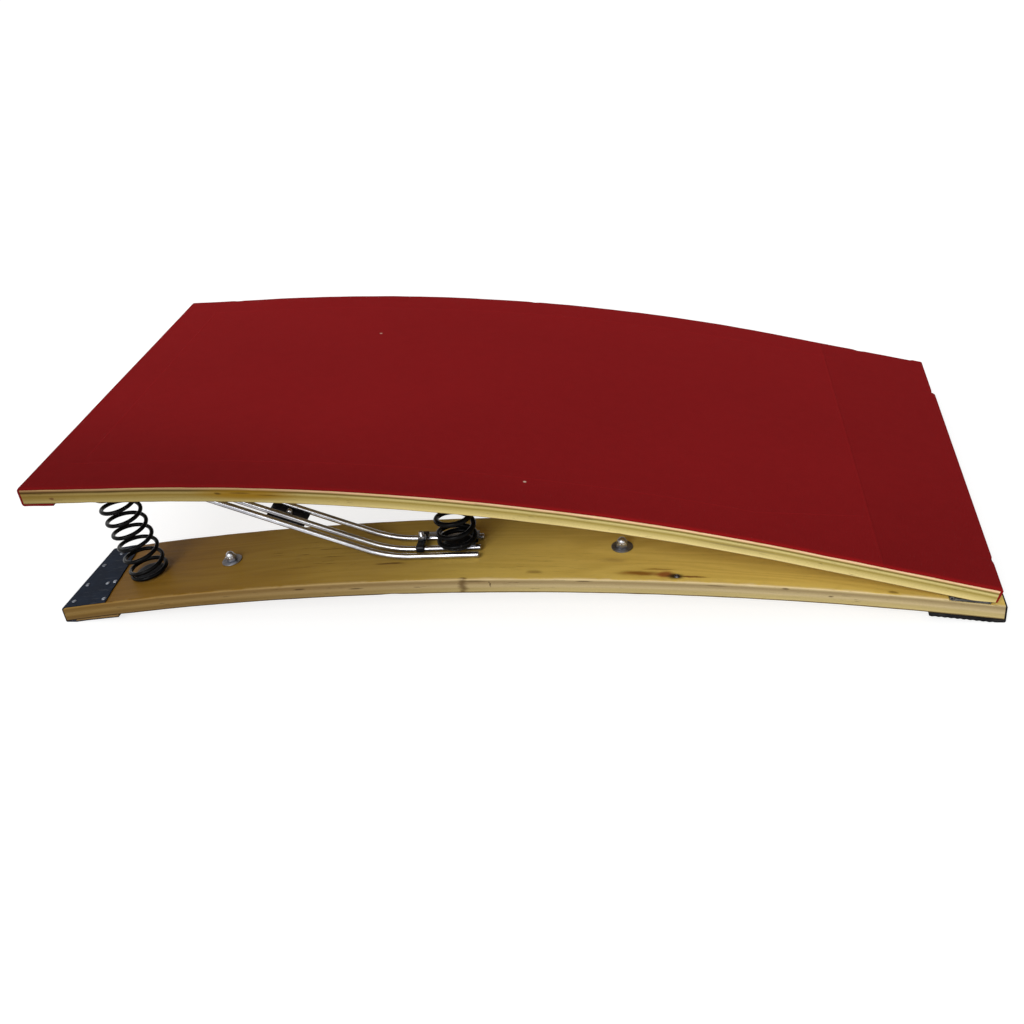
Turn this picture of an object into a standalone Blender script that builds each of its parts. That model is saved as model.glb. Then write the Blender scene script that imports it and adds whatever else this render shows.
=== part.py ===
"""Gymnastics springboard: a curved, carpeted plywood deck hinged at its low rear end to two arched
plywood runners, on four coil springs and two bows of bent steel rod.

Metres, +Z up, floor at Z = 0. +X runs to the low rear end, the high front end is at -X, and the
left runner is at -Y. The origin is on the floor below the middle of the runners.
"""

import math

import bmesh
import bpy
from mathutils import Matrix, Vector

# Clearance between pieces that touch, and between a shank and its hole.
GAP = 0.0003

# Deck: flat front stretch, long arc, straight rear stretch.
DECK_LENGTH = 1.200
DECK_WIDTH = 0.600
DECK_THICKNESS = 0.020
DECK_FRONT_FLAT = 0.150
DECK_RADIUS = 3.200
DECK_REAR_SLOPE = math.radians(14.8)
DECK_REAR_OVERLAP = 0.0465
DECK_STATIONS = 24

# Carpet.
CARPET_THICKNESS = 0.003
CARPET_FRONT_FLAP = 0.040
CARPET_CORNER_STEPS = 3

# Runners: circular arches whose crown lies a little behind their middle, so the front end is lower.
RUNNER_LENGTH = 1.195
RUNNER_WIDTH = 0.140
RUNNER_THICKNESS = 0.021
RUNNER_RISE = 0.0435
RUNNER_CROWN_X = 0.0085
RUNNER_STATIONS = 24
RUNNER_REAR_HEIGHT = 0.004
EDGE_ROUND = 0.001

# Front cap, the wedge of packing under it, and rear pad.
CAP_LENGTH = 0.062
CAP_THICKNESS = 0.0012
PACKING_START = 0.014
PACKING_END = 0.078
PACKING_THIN = 0.0012
PACKING_THICK = 0.0024
PAD_LENGTH = 0.084
PAD_THICKNESS = 0.0055
PAD_END_THICKNESS = 0.002
PAD_END_HEIGHT = 0.019

# Rear hinge, its pin this far from the runner's rear end.
HINGE_FROM_END = 0.060
LEAF_THICKNESS = 0.0015
LEAF_START = 0.0004
LEAF_LENGTH = 0.044
LEAF_INSET = 0.0006
KNUCKLE_RADIUS = 0.0026
PIN_RADIUS = 0.00125
PIN_HEIGHT = 0.0011
KNUCKLES = 5
HINGE_HEADROOM = 0.0043

# Rods of each bow, with their distances outboard of the runner's middle.
ROD_RADIUS = 0.004
ROD_OFFSETS = {"outer": 0.0235, "middle": 0.007, "inner": -0.018}
ROD_REAR_X = -0.0265
ROD_REAR_FLAT = 0.119
ROD_FRONT_X = -0.545
ROD_FRONT_FLAT = 0.124
ROD_BEND_RADIUS = 0.150
ROD_FRONT_BEND_REACH = 0.034
ROD_BEND_STEPS = 5
ROD_END_CHAMFER = 0.0012

# Seat plates between the rods and the springs.
FRONT_SEAT_SIZE = 0.054
MID_SEAT_LENGTH = 0.045
SEAT_THICKNESS = 0.002
SEAT_SETBACK = 0.0065
SEAT_OVERHANG = 0.0015
TONGUE_WIDTH = 0.011

# Saddle clamp over the middle and inner rods.
CLAMP_X = -0.106
CLAMP_WIDTH = 0.010
CLAMP_THICKNESS = 0.003
CLAMP_CHEEK = 0.005

# Cross tie under the slope of the middle and inner rods, with a screw between them.
TIE_X = -0.277
TIE_WIDTH = 0.050
TIE_OVERHANG = 0.001
TIE_THICKNESS = 0.0025
TIE_SCREW_HEAD_RADIUS = 0.0045
TIE_SCREW_HEAD_HEIGHT = 0.006
TIE_SCREW_TAIL = 0.002

# Springs: distance outboard of the runner's middle, radius of the wire's centre line, wire
# thickness, turns, turns closed up at each end, and the turn at which the wire starts.
SPRING_OFFSET = 0.0065
FRONT_SPRING_X = -0.4922
FRONT_SPRING_RADIUS = 0.0239
FRONT_SPRING_WIRE = 0.0055
FRONT_SPRING_TURNS = 8.3
FRONT_SPRING_CLOSED = 1.0
FRONT_SPRING_LEAD = 0.53
MID_SPRING_RADIUS = 0.0230
MID_SPRING_WIRE = 0.0068
MID_SPRING_TURNS = 5.5
MID_SPRING_CLOSED = 1.25
MID_SPRING_LEAD = 0.0
CURL_POINTS = 9
CLOSED_GAP = 0.0009
FLARE = 0.004
FLARE_TURNS = 0.22

# Spring anchors: a low disc inside the end coil, on a shank.
ANCHOR_CLEARANCE = 0.001
ANCHOR_HEIGHT = 0.005
ANCHOR_SHANK_RADIUS = 0.003
ANCHOR_DEPTH = 0.013

# Shares of a bolt head's radius and height that its crown and shoulder take, and of a shank's
# radius that its point draws in.
CROWN_SHARE = 0.6
SHOULDER_SHARE = 0.4
POINT_SHARE = 0.25

# Clamp bolts (M6) and bolts with dome nuts (M8).
M6_RADIUS = 0.003
M6_NUT_ACROSS_FLATS = 0.010
M6_NUT_HEIGHT = 0.005
M6_HEAD_RADIUS = 0.008
M6_HEAD_HEIGHT = 0.003
M6_TAIL = 0.006
M8_RADIUS = 0.004
M8_NUT_ACROSS_FLATS = 0.013
M8_NUT_HEIGHT = 0.0065
M8_DOME_RADIUS = 0.006
M8_BORE_DEPTH = 0.010
M8_HEAD_RADIUS = 0.010
M8_HEAD_HEIGHT = 0.0045
WASHER_RADIUS = 0.0135
WASHER_THICKNESS = 0.0016
DOME_BOLT_X = {"front": -0.373, "rear": 0.152}

# Sides of turned pieces.
ROUND_SIDES = 20
SMALL_SIDES = 12

SIDES = {"left": -1, "right": 1}


def remove_everything():
    """Clears the startup objects."""
    for item in list(bpy.data.objects):
        bpy.data.objects.remove(item, do_unlink=True)


def finish(name, colour, roughness, metallic=0.0):
    """A Principled material."""
    material = bpy.data.materials.new(name)
    material.use_nodes = True
    shader = material.node_tree.nodes["Principled BSDF"]
    shader.inputs["Base Color"].default_value = (*colour, 1.0)
    shader.inputs["Roughness"].default_value = roughness
    shader.inputs["Metallic"].default_value = metallic
    material.diffuse_color = (*colour, 1.0)
    return material


def make_finishes():
    """The materials of the object, by name."""
    return {
        "deck_ply": finish("deck_ply", (0.62, 0.50, 0.24), 0.45),
        "carpet": finish("red_carpet", (0.21, 0.010, 0.012), 0.95),
        "runner_ply": finish("runner_ply", (0.40, 0.24, 0.055), 0.35),
        "packing": finish("packing_wood", (0.34, 0.21, 0.10), 0.6),
        "cap": finish("cap_rubber", (0.020, 0.024, 0.040), 0.6),
        "pad": finish("pad_rubber", (0.008, 0.008, 0.009), 0.8),
        "spring": finish("black_spring_steel", (0.006, 0.006, 0.007), 0.35, 0.6),
        "rod": finish("polished_rod", (0.62, 0.62, 0.66), 0.18, 1.0),
        "zinc": finish("zinc_plate", (0.48, 0.49, 0.52), 0.35, 1.0),
        "dark_steel": finish("dark_steel", (0.06, 0.06, 0.07), 0.45, 0.8),
    }


def runner_radius():
    """Radius of the runner's underside, from its length and rise."""
    half = RUNNER_LENGTH / 2
    return (half * half + RUNNER_RISE * RUNNER_RISE) / (2 * RUNNER_RISE)


def runner_centre_z():
    """Height of the arch's centre, far below the floor, from the height of the rear end."""
    radius = runner_radius()
    across = RUNNER_LENGTH / 2 - RUNNER_CROWN_X
    return RUNNER_REAR_HEIGHT - math.sqrt(radius * radius - across * across)


def runner_surface(x, offset=0.0):
    """Height at x of the arc that lies offset outside the runner's underside."""
    radius = runner_radius() + offset
    across = x - RUNNER_CROWN_X
    return runner_centre_z() + math.sqrt(radius * radius - across * across)


def runner_top(x, offset=0.0):
    """Height of the runner's upper face, or of an arc above it."""
    return runner_surface(x, RUNNER_THICKNESS + offset)


def runner_slope(x):
    """Slope angle of the runner's upper face at x, positive where it rises with x."""
    radius = runner_radius() + RUNNER_THICKNESS
    return -math.asin((x - RUNNER_CROWN_X) / radius)


def hinge_x():
    return RUNNER_LENGTH / 2 - HINGE_FROM_END


def on_hinge(along, above):
    """Point in the plane of the runner's upper face at the hinge: along it and square to it."""
    x = hinge_x()
    slope = runner_slope(x)
    origin = Vector((x, runner_top(x)))
    return origin + Vector((math.cos(slope), math.sin(slope))) * along + Vector(
        (-math.sin(slope), math.cos(slope))
    ) * above


def hinge_pin():
    """Centre of the hinge pin as (x, z)."""
    return on_hinge(0.0, PIN_HEIGHT)


def deck_rear_straight():
    return DECK_LENGTH - DECK_FRONT_FLAT - DECK_RADIUS * DECK_REAR_SLOPE


def deck_rear_corner():
    """Upper rear corner of the deck, set by the room that the hinge needs under it."""
    slope = DECK_REAR_SLOPE
    under = on_hinge(0.0, HINGE_HEADROOM)
    top = under + Vector((math.sin(slope), math.cos(slope))) * DECK_THICKNESS
    run = DECK_REAR_OVERLAP / math.cos(slope)
    return top + Vector((math.cos(slope), -math.sin(slope))) * run


def deck_point(distance, offset=0.0):
    """Point of the deck's upper face at a distance from its front end, offset outwards."""
    slope = DECK_REAR_SLOPE
    straight = deck_rear_straight()
    arc_end = DECK_LENGTH - straight
    corner = deck_rear_corner()
    down = Vector((math.cos(slope), -math.sin(slope)))
    joint = corner - down * straight
    centre = joint - Vector((math.sin(slope), math.cos(slope))) * DECK_RADIUS
    if distance >= arc_end:
        normal = Vector((math.sin(slope), math.cos(slope)))
        return joint + down * (distance - arc_end) + normal * offset
    if distance >= DECK_FRONT_FLAT:
        angle = (distance - DECK_FRONT_FLAT) / DECK_RADIUS
        reach = DECK_RADIUS + offset
        return centre + Vector((math.sin(angle), math.cos(angle))) * reach
    flat = distance - DECK_FRONT_FLAT
    return centre + Vector((flat, DECK_RADIUS + offset))


def deck_slope_at(x):
    """Slope angle of the deck at x, positive where it rises with x."""
    start = deck_point(DECK_FRONT_FLAT).x
    end = deck_point(DECK_LENGTH - deck_rear_straight()).x
    if x <= start:
        return 0.0
    if x >= end:
        return -DECK_REAR_SLOPE
    return -math.asin((x - start) / DECK_RADIUS)


def deck_under(x):
    """Height at x of the deck's underside."""
    depth = DECK_THICKNESS
    start = deck_point(DECK_FRONT_FLAT, -depth)
    end = deck_point(DECK_LENGTH - deck_rear_straight(), -depth)
    if x <= start.x:
        return start.y
    if x >= end.x:
        return end.y - (x - end.x) * math.tan(DECK_REAR_SLOPE)
    radius = DECK_RADIUS - depth
    across = x - start.x
    return start.y - radius + math.sqrt(radius * radius - across * across)


def relief_height():
    """Distance of the deck's relieved rear seat above the runner's face at the hinge."""
    return LEAF_THICKNESS + 2 * GAP


def relieved(point):
    """A point of the deck's underside, lifted to the flat rear seat where it would lie below it."""
    anchor = on_hinge(0.0, relief_height())
    slope = runner_slope(hinge_x())
    seat = anchor.y + (point.x - anchor.x) * math.tan(slope)
    behind = point.x > anchor.x
    return Vector((point.x, max(point.y, seat))) if behind else point


def relief_start():
    """Distance along the deck where its underside meets the rear seat."""
    low = DECK_LENGTH - deck_rear_straight()
    high = DECK_LENGTH
    for _ in range(40):
        middle = (low + high) / 2
        point = deck_point(middle, -DECK_THICKNESS)
        if relieved(point).y > point.y:
            high = middle
        else:
            low = middle
    return high


def body_of_strip(upper, lower, y_low, y_high):
    """Closed mesh between two lines of (x, z) points with as many points each, from y_low to y_high."""
    mesh = bmesh.new()
    rows = []
    for above, below in zip(upper, lower):
        corners = [(above, y_low), (above, y_high), (below, y_high), (below, y_low)]
        rows.append([mesh.verts.new((p.x, y, p.y)) for p, y in corners])
    for near, far in zip(rows, rows[1:]):
        for k in range(4):
            n = (k + 1) % 4
            mesh.faces.new((near[k], near[n], far[n], far[k]))
    mesh.faces.new(rows[0][::-1])
    mesh.faces.new(rows[-1])
    bmesh.ops.recalc_face_normals(mesh, faces=mesh.faces)
    return mesh


def prism(outline, low, high):
    """Closed mesh of a flat outline in X and Y, from low to high in Z."""
    mesh = bmesh.new()
    face = mesh.faces.new([mesh.verts.new((x, y, low)) for x, y in outline])
    made = bmesh.ops.extrude_face_region(mesh, geom=[face])
    moved = [v for v in made["geom"] if isinstance(v, bmesh.types.BMVert)]
    bmesh.ops.translate(mesh, vec=(0, 0, high - low), verts=moved)
    bmesh.ops.recalc_face_normals(mesh, faces=mesh.faces)
    return mesh


def turned(profile, sides):
    """Closed mesh turned about Z from (radius, z) points that run from the axis, or a bore, back to it."""
    mesh = bmesh.new()
    bored = profile[0][0] > 0
    rings = []
    for radius, z in profile:
        if radius == 0:
            rings.append([mesh.verts.new((0, 0, z))])
            continue
        angles = [2 * math.pi * k / sides for k in range(sides)]
        rings.append([mesh.verts.new((radius * math.cos(a), radius * math.sin(a), z)) for a in angles])
    pairs = list(zip(rings, rings[1:]))
    if bored:
        pairs.append((rings[-1], rings[0]))
    for first, second in pairs:
        for k in range(sides):
            n = (k + 1) % sides
            a, b = len(first), len(second)
            corners = [first[k % a], first[n % a], second[n % b], second[k % b]]
            mesh.faces.new(list(dict.fromkeys(corners)))
    bmesh.ops.recalc_face_normals(mesh, faces=mesh.faces)
    return mesh


def hexagon(across_flats):
    reach = across_flats / math.sqrt(3)
    return [(reach * math.cos(math.pi / 3 * k), reach * math.sin(math.pi / 3 * k)) for k in range(6)]


def add_object(name, mesh, material, place=None):
    """Links a mesh as an object, with place as the matrix of its own axes."""
    data = bpy.data.meshes.new(name)
    mesh.to_mesh(data)
    mesh.free()
    data.materials.append(material)
    data.shade_smooth()
    data.set_sharp_from_angle(angle=math.radians(35))
    item = bpy.data.objects.new(name, data)
    bpy.context.scene.collection.objects.link(item)
    if place is not None:
        item.matrix_world = place
    return item


def add_bevel(item, width):
    """Takes the sharp edges off a board with a narrow flat."""
    bevel = item.modifiers.new("edge_round", "BEVEL")
    bevel.width = width
    bevel.segments = 1
    bevel.limit_method = "ANGLE"
    bevel.angle_limit = math.radians(50)
    bevel.harden_normals = False


def cut(item, cutter):
    """Subtracts a hidden cutter."""
    boolean = item.modifiers.new(cutter.name, "BOOLEAN")
    boolean.operation = "DIFFERENCE"
    boolean.object = cutter
    boolean.solver = "EXACT"
    cutter.hide_render = True
    cutter.display_type = "WIRE"


def join(item, other):
    """Unites a hidden piece with item."""
    boolean = item.modifiers.new(other.name, "BOOLEAN")
    boolean.operation = "UNION"
    boolean.object = other
    boolean.solver = "EXACT"
    other.hide_render = True
    other.display_type = "WIRE"


def tilted(x, y, z, slope):
    """Matrix that places a piece at a point, turned so that its X runs up the slope."""
    return Matrix.Translation((x, y, z)) @ Matrix.Rotation(-slope, 4, "Y")


def drill(name, item, radius, place, length):
    """Cuts a round hole of a length through item, centred on place and along its Z."""
    profile = [(0, -length / 2), (radius, -length / 2), (radius, length / 2), (0, length / 2)]
    cutter = add_object(name + "_cutter", turned(profile, SMALL_SIDES), item.data.materials[0], place)
    cut(item, cutter)


def runner_y(side):
    """Middle of a runner's width."""
    return side * (DECK_WIDTH - RUNNER_WIDTH) / 2


def bow_y(side, offset):
    """Y at an offset outwards from the middle of the runner."""
    return runner_y(side) + side * offset


def rod_pair_y(side):
    """Y midway between the middle and inner rods."""
    return bow_y(side, (ROD_OFFSETS["middle"] + ROD_OFFSETS["inner"]) / 2)


def spring_y(side):
    return bow_y(side, SPRING_OFFSET)


def square_to_runner(x, y, lift=0.0):
    """Matrix of a place on the runner's upper face, its Z square to the face."""
    slope = runner_slope(x)
    foot = Vector((x - lift * math.sin(slope), runner_top(x) + lift * math.cos(slope)))
    return tilted(foot.x, y, foot.y, slope)


def headed(head_radius, head_height, shank_radius, bearing, tip):
    """Turned profile of a bolt: round head beyond its bearing face, shank to its tip."""
    way = math.copysign(1.0, tip - bearing)
    crown = bearing - way * head_height
    shoulder = bearing - way * head_height * SHOULDER_SHARE
    point = shank_radius * POINT_SHARE
    return [
        (0, crown),
        (head_radius * CROWN_SHARE, crown),
        (head_radius, shoulder),
        (head_radius, bearing),
        (shank_radius, bearing),
        (shank_radius, tip - way * point),
        (shank_radius - point, tip),
        (0, tip),
    ]


def add_turned(name, profile, sides, material, place):
    return add_object(name, turned(profile, sides), material, place)


def washer_profile(radius, bore, low, high):
    return [(bore, low), (radius, low), (radius, high), (bore, high)]


def deck_stations():
    """Distances along the deck at which its section is drawn."""
    arc_end = DECK_LENGTH - deck_rear_straight()
    arc = arc_end - DECK_FRONT_FLAT
    steps = [DECK_FRONT_FLAT + arc * k / DECK_STATIONS for k in range(DECK_STATIONS + 1)]
    return [0.0, *steps, relief_start(), DECK_LENGTH]


def make_deck(finishes):
    """Curved plywood deck, relieved at the rear where it sits on the hinges."""
    stations = deck_stations()
    upper = [deck_point(s) for s in stations]
    lower = [relieved(deck_point(s, -DECK_THICKNESS)) for s in stations]
    mesh = body_of_strip(upper, lower, -DECK_WIDTH / 2, DECK_WIDTH / 2)
    deck = add_object("deck_board", mesh, finishes["deck_ply"])
    add_bevel(deck, EDGE_ROUND)


def corner_arc(centre, radius, start, end):
    """Points on an arc about a corner, between two angles from +X, in degrees."""
    steps = CARPET_CORNER_STEPS
    angles = [math.radians(start + (end - start) * k / steps) for k in range(steps + 1)]
    return [centre + Vector((math.cos(a), math.sin(a))) * radius for a in angles]


def make_carpet(finishes):
    """Carpet over the deck, round its front end to a flap underneath, and down its rear end."""
    front_low = deck_point(0.0, -DECK_THICKNESS)
    front_high = deck_point(0.0)
    rear_high = deck_point(DECK_LENGTH)
    rear_low = relieved(deck_point(DECK_LENGTH, -DECK_THICKNESS))
    slope = math.degrees(DECK_REAR_SLOPE)
    away = Vector((math.cos(DECK_REAR_SLOPE), -math.sin(DECK_REAR_SLOPE)))
    faces = []
    for reach in (GAP, GAP + CARPET_THICKNESS):
        face = [front_low + Vector((CARPET_FRONT_FLAP, -reach))]
        face += corner_arc(front_low, reach, 270, 180)
        face += corner_arc(front_high, reach, 180, 90)
        face += [deck_point(station, reach) for station in deck_stations()[1:-1]]
        face += corner_arc(rear_high, reach, 90 - slope, -slope)
        face.append(rear_low + away * reach)
        faces.append(face)
    inner, outer = faces
    mesh = body_of_strip(outer, inner, -DECK_WIDTH / 2, DECK_WIDTH / 2)
    return add_object("deck_carpet", mesh, finishes["carpet"])


def make_runner(label, side, finishes):
    """Arched runner with the recess for the lower hinge leaf."""
    y = runner_y(side)
    half = RUNNER_LENGTH / 2
    xs = [-half + RUNNER_LENGTH * k / RUNNER_STATIONS for k in range(RUNNER_STATIONS + 1)]
    upper = [Vector((x, runner_top(x))) for x in xs]
    lower = [Vector((x, runner_surface(x))) for x in xs]
    mesh = body_of_strip(upper, lower, y - RUNNER_WIDTH / 2, y + RUNNER_WIDTH / 2)
    runner = add_object("runner_" + label, mesh, finishes["runner_ply"])
    add_bevel(runner, EDGE_ROUND)
    front = -KNUCKLE_RADIUS - 2 * GAP
    rear = 2 * HINGE_FROM_END
    depth = LEAF_THICKNESS + GAP
    upper = [on_hinge(front, RUNNER_THICKNESS), on_hinge(rear, RUNNER_THICKNESS)]
    lower = [on_hinge(front, -depth), on_hinge(rear, -depth)]
    recess = body_of_strip(upper, lower, y - RUNNER_WIDTH, y + RUNNER_WIDTH)
    cut(runner, add_object("recess_cutter_" + label, recess, finishes["runner_ply"]))
    return runner


def along_underside(xs, offset):
    """Points under the runner's lower face at the xs, offset below it."""
    return [Vector((x, runner_surface(x, -offset))) for x in xs]


def above_floor(points):
    """The points, with those that would lie under the floor brought up to it."""
    return [Vector((p.x, max(p.y, 0.0))) for p in points]


def floor_contact(end, depth):
    """Distance from the runner's rear end over which a layer under it lies flat on the floor."""
    return (depth - RUNNER_REAR_HEIGHT) / math.tan(abs(runner_slope(end)))


def packing_bottom(x):
    """Distance of the packing's lower face below the runner at x."""
    start = -RUNNER_LENGTH / 2 + PACKING_START
    share = (x - start) / (PACKING_END - PACKING_START)
    return GAP + PACKING_THIN + (PACKING_THICK - PACKING_THIN) * share


def make_packing(label, side, finishes):
    """Wedge under the front end of the runner, thin towards the end."""
    y = runner_y(side)
    end = -RUNNER_LENGTH / 2
    xs = [end + PACKING_START, end + (PACKING_START + PACKING_END) / 2, end + PACKING_END]
    upper = along_underside(xs, GAP)
    lower = [Vector((x, runner_surface(x, -packing_bottom(x)))) for x in xs]
    mesh = body_of_strip(upper, lower, y - RUNNER_WIDTH / 2, y + RUNNER_WIDTH / 2)
    add_object("front_packing_" + label, mesh, finishes["packing"])


def make_cap(label, side, finishes):
    """Cap wrapped round the front end of the runner, flat on the floor in front of the packing."""
    y = runner_y(side)
    end = -RUNNER_LENGTH / 2
    step = end + PACKING_START
    middle = end + (PACKING_START + PACKING_END) / 2
    rear = end + PACKING_END
    over = [end, end + CAP_LENGTH / 2, end + CAP_LENGTH]
    faces = []
    for reach in (GAP, GAP + CAP_THICKNESS):
        face = [Vector((x, runner_surface(x, -packing_bottom(x) - reach))) for x in (rear, middle, step)]
        face += along_underside([end + PACKING_START / 2, end], reach)
        if reach > GAP:
            face[2:] = [Vector((p.x, 0.0)) for p in face[2:]]
        face.append(Vector((end - reach, face[-1].y)))
        face.append(Vector((end - reach, runner_top(end, reach))))
        face += [Vector((x, runner_top(x, reach))) for x in over]
        faces.append(face)
    inner, outer = faces
    mesh = body_of_strip(outer, inner, y - RUNNER_WIDTH / 2, y + RUNNER_WIDTH / 2)
    add_object("front_cap_" + label, mesh, finishes["cap"])


def make_rear_pad(label, side, finishes):
    """Rubber pad under the rear end of the runner, turned up its end face, flat where it rests."""
    y = runner_y(side)
    end = RUNNER_LENGTH / 2
    flat = floor_contact(end, GAP + PAD_THICKNESS)
    xs = [end - PAD_LENGTH, end - PAD_LENGTH / 2, end - flat, end]
    top = RUNNER_REAR_HEIGHT + PAD_END_HEIGHT
    faces = []
    for depth, reach in ((GAP, GAP), (GAP + PAD_THICKNESS, GAP + PAD_END_THICKNESS)):
        face = above_floor(along_underside(xs, depth))
        face.append(Vector((end + reach, face[-1].y)))
        face.append(Vector((end + reach, top)))
        faces.append(face)
    inner, outer = faces
    mesh = body_of_strip(outer, inner, y - RUNNER_WIDTH / 2, y + RUNNER_WIDTH / 2)
    add_object("rear_pad_" + label, mesh, finishes["pad"])


def knuckle_span(index):
    """The stretch of the hinge, from its middle, that one knuckle takes."""
    width = RUNNER_WIDTH - 2 * LEAF_INSET
    step = width / KNUCKLES
    return -width / 2 + step * index + GAP, -width / 2 + step * (index + 1) - GAP


def along_pin(name, radius, y_low, y_high, material):
    """Cylinder along the hinge pin's axis."""
    pin = hinge_pin()
    profile = [(0, y_low), (radius, y_low), (radius, y_high), (0, y_high)]
    place = Matrix.Translation((pin.x, 0, pin.y)) @ Matrix.Rotation(-math.pi / 2, 4, "X")
    return add_turned(name, profile, SMALL_SIDES, material, place)


def make_leaf(name, side, low, first, finishes):
    """One hinge leaf: a plate with every second knuckle, bored for the pin."""
    y = runner_y(side)
    half = RUNNER_WIDTH / 2 - LEAF_INSET
    high = low + LEAF_THICKNESS
    upper = [on_hinge(LEAF_START, high), on_hinge(LEAF_LENGTH, high)]
    lower = [on_hinge(LEAF_START, low), on_hinge(LEAF_LENGTH, low)]
    plate = body_of_strip(upper, lower, y - half, y + half)
    leaf = add_object(name, plate, finishes["zinc"])
    for index in range(KNUCKLES):
        y_low, y_high = knuckle_span(index)
        label = f"{name}_knuckle_{index}"
        if index % 2 == first:
            join(leaf, along_pin(label, KNUCKLE_RADIUS, y + y_low, y + y_high, finishes["zinc"]))
            continue
        reach = KNUCKLE_RADIUS + 2 * GAP
        room_low = y_low - (RUNNER_WIDTH if index == 0 else GAP)
        room_high = y_high + (RUNNER_WIDTH if index == KNUCKLES - 1 else GAP)
        cut(leaf, along_pin(label, reach, y + room_low, y + room_high, finishes["zinc"]))
    bore_radius = PIN_RADIUS + GAP
    cut(leaf, along_pin(name + "_bore", bore_radius, y - RUNNER_WIDTH, y + RUNNER_WIDTH, finishes["zinc"]))


def make_hinge(label, side, finishes):
    """Hinge with one leaf let into the runner and one under the deck, on a common pin."""
    y = runner_y(side)
    half = RUNNER_WIDTH / 2 - LEAF_INSET
    make_leaf("hinge_leaf_lower_" + label, side, -LEAF_THICKNESS, 0, finishes)
    make_leaf("hinge_leaf_upper_" + label, side, GAP, 1, finishes)
    along_pin("hinge_pin_" + label, PIN_RADIUS, y - half, y + half, finishes["dark_steel"])


def rod_rear_line():
    """Middle point and slope of the rods' rear stretch, which lies along the runner."""
    x = ROD_REAR_X - ROD_REAR_FLAT / 2
    slope = runner_slope(x)
    lift = GAP + ROD_RADIUS
    return Vector((x - lift * math.sin(slope), runner_top(x) + lift * math.cos(slope))), slope


def on_rods(along, above):
    """Point on the rods' rear stretch, along it from its middle and square above its centre line."""
    rear, slope = rod_rear_line()
    direction = Vector((math.cos(slope), math.sin(slope)))
    normal = Vector((-math.sin(slope), math.cos(slope)))
    return rear + direction * along + normal * above


def rod_front_point():
    """Middle point of the rods' level front stretch, which touches the deck where its bend starts."""
    bend_start = ROD_FRONT_X + ROD_FRONT_FLAT - ROD_FRONT_BEND_REACH
    return Vector((ROD_FRONT_X + ROD_FRONT_FLAT / 2, deck_under(bend_start) - GAP - ROD_RADIUS))


def rod_corners():
    """Corners of the rods' line in X and Z, from the front end to the rear end."""
    front = rod_front_point()
    half = Vector((ROD_FRONT_FLAT / 2, 0))
    reach = ROD_REAR_FLAT / 2
    return [front - half, front + half, on_rods(-reach, 0.0), on_rods(reach, 0.0)]


def rounded(points, radius, steps):
    """A line of straight runs with an arc of a radius at each inner corner."""
    line = [points[0]]
    for before, corner, after in zip(points, points[1:], points[2:]):
        first = (before - corner).normalized()
        second = (after - corner).normalized()
        half = first.angle(second) / 2
        reach = radius / math.tan(half)
        centre = corner + (first + second).normalized() * (radius / math.sin(half))
        start = corner + first * reach - centre
        end = corner + second * reach - centre
        swing = math.atan2(start.x * end.y - start.y * end.x, start.dot(end))
        for k in range(steps + 1):
            turn = swing * k / steps
            along = start * math.cos(turn)
            across = Vector((-start.y, start.x)) * math.sin(turn)
            line.append(centre + along + across)
    line.append(points[-1])
    return line


def add_tube(name, points, radius, material, resolution, chamfer=0.0):
    """Round bar along a line of points, its ends drawn in over a chamfer."""
    curve = bpy.data.curves.new(name, "CURVE")
    curve.dimensions = "3D"
    curve.bevel_depth = radius
    curve.bevel_resolution = resolution
    curve.use_fill_caps = True
    sizes = [1.0] * len(points)
    if chamfer:
        first = points[0] + (points[1] - points[0]).normalized() * chamfer
        last = points[-1] + (points[-2] - points[-1]).normalized() * chamfer
        points = [points[0], first, *points[1:-1], last, points[-1]]
        small = 1 - chamfer / radius
        sizes = [small, *[1.0] * (len(points) - 2), small]
    spline = curve.splines.new("POLY")
    spline.points.add(len(points) - 1)
    for item, point, size in zip(spline.points, points, sizes):
        item.co = (*point, 1.0)
        item.radius = size
    curve.materials.append(material)
    tube = bpy.data.objects.new(name, curve)
    bpy.context.scene.collection.objects.link(tube)
    return tube


def make_rods(label, side, finishes):
    """Three bent rods of one bow, flat under the deck in front and flat on the runner behind."""
    line = rounded(rod_corners(), ROD_BEND_RADIUS, ROD_BEND_STEPS)
    for which, offset in ROD_OFFSETS.items():
        y = bow_y(side, offset)
        points = [Vector((p.x, y, p.y)) for p in line]
        add_tube(f"bow_rod_{which}_{label}", points, ROD_RADIUS, finishes["rod"], 4, ROD_END_CHAMFER)


def mid_seat_reach():
    """Distance of the middle spring's seat from the middle of the rods' rear stretch."""
    return ROD_REAR_FLAT / 2 - SEAT_SETBACK - MID_SEAT_LENGTH / 2


def mid_seat_place(side, lift=0.0):
    """Matrix of a place above the rods under the middle spring, its Z square to them."""
    _, slope = rod_rear_line()
    point = on_rods(mid_seat_reach(), ROD_RADIUS + GAP + lift)
    return tilted(point.x, spring_y(side), point.y, slope)


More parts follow.
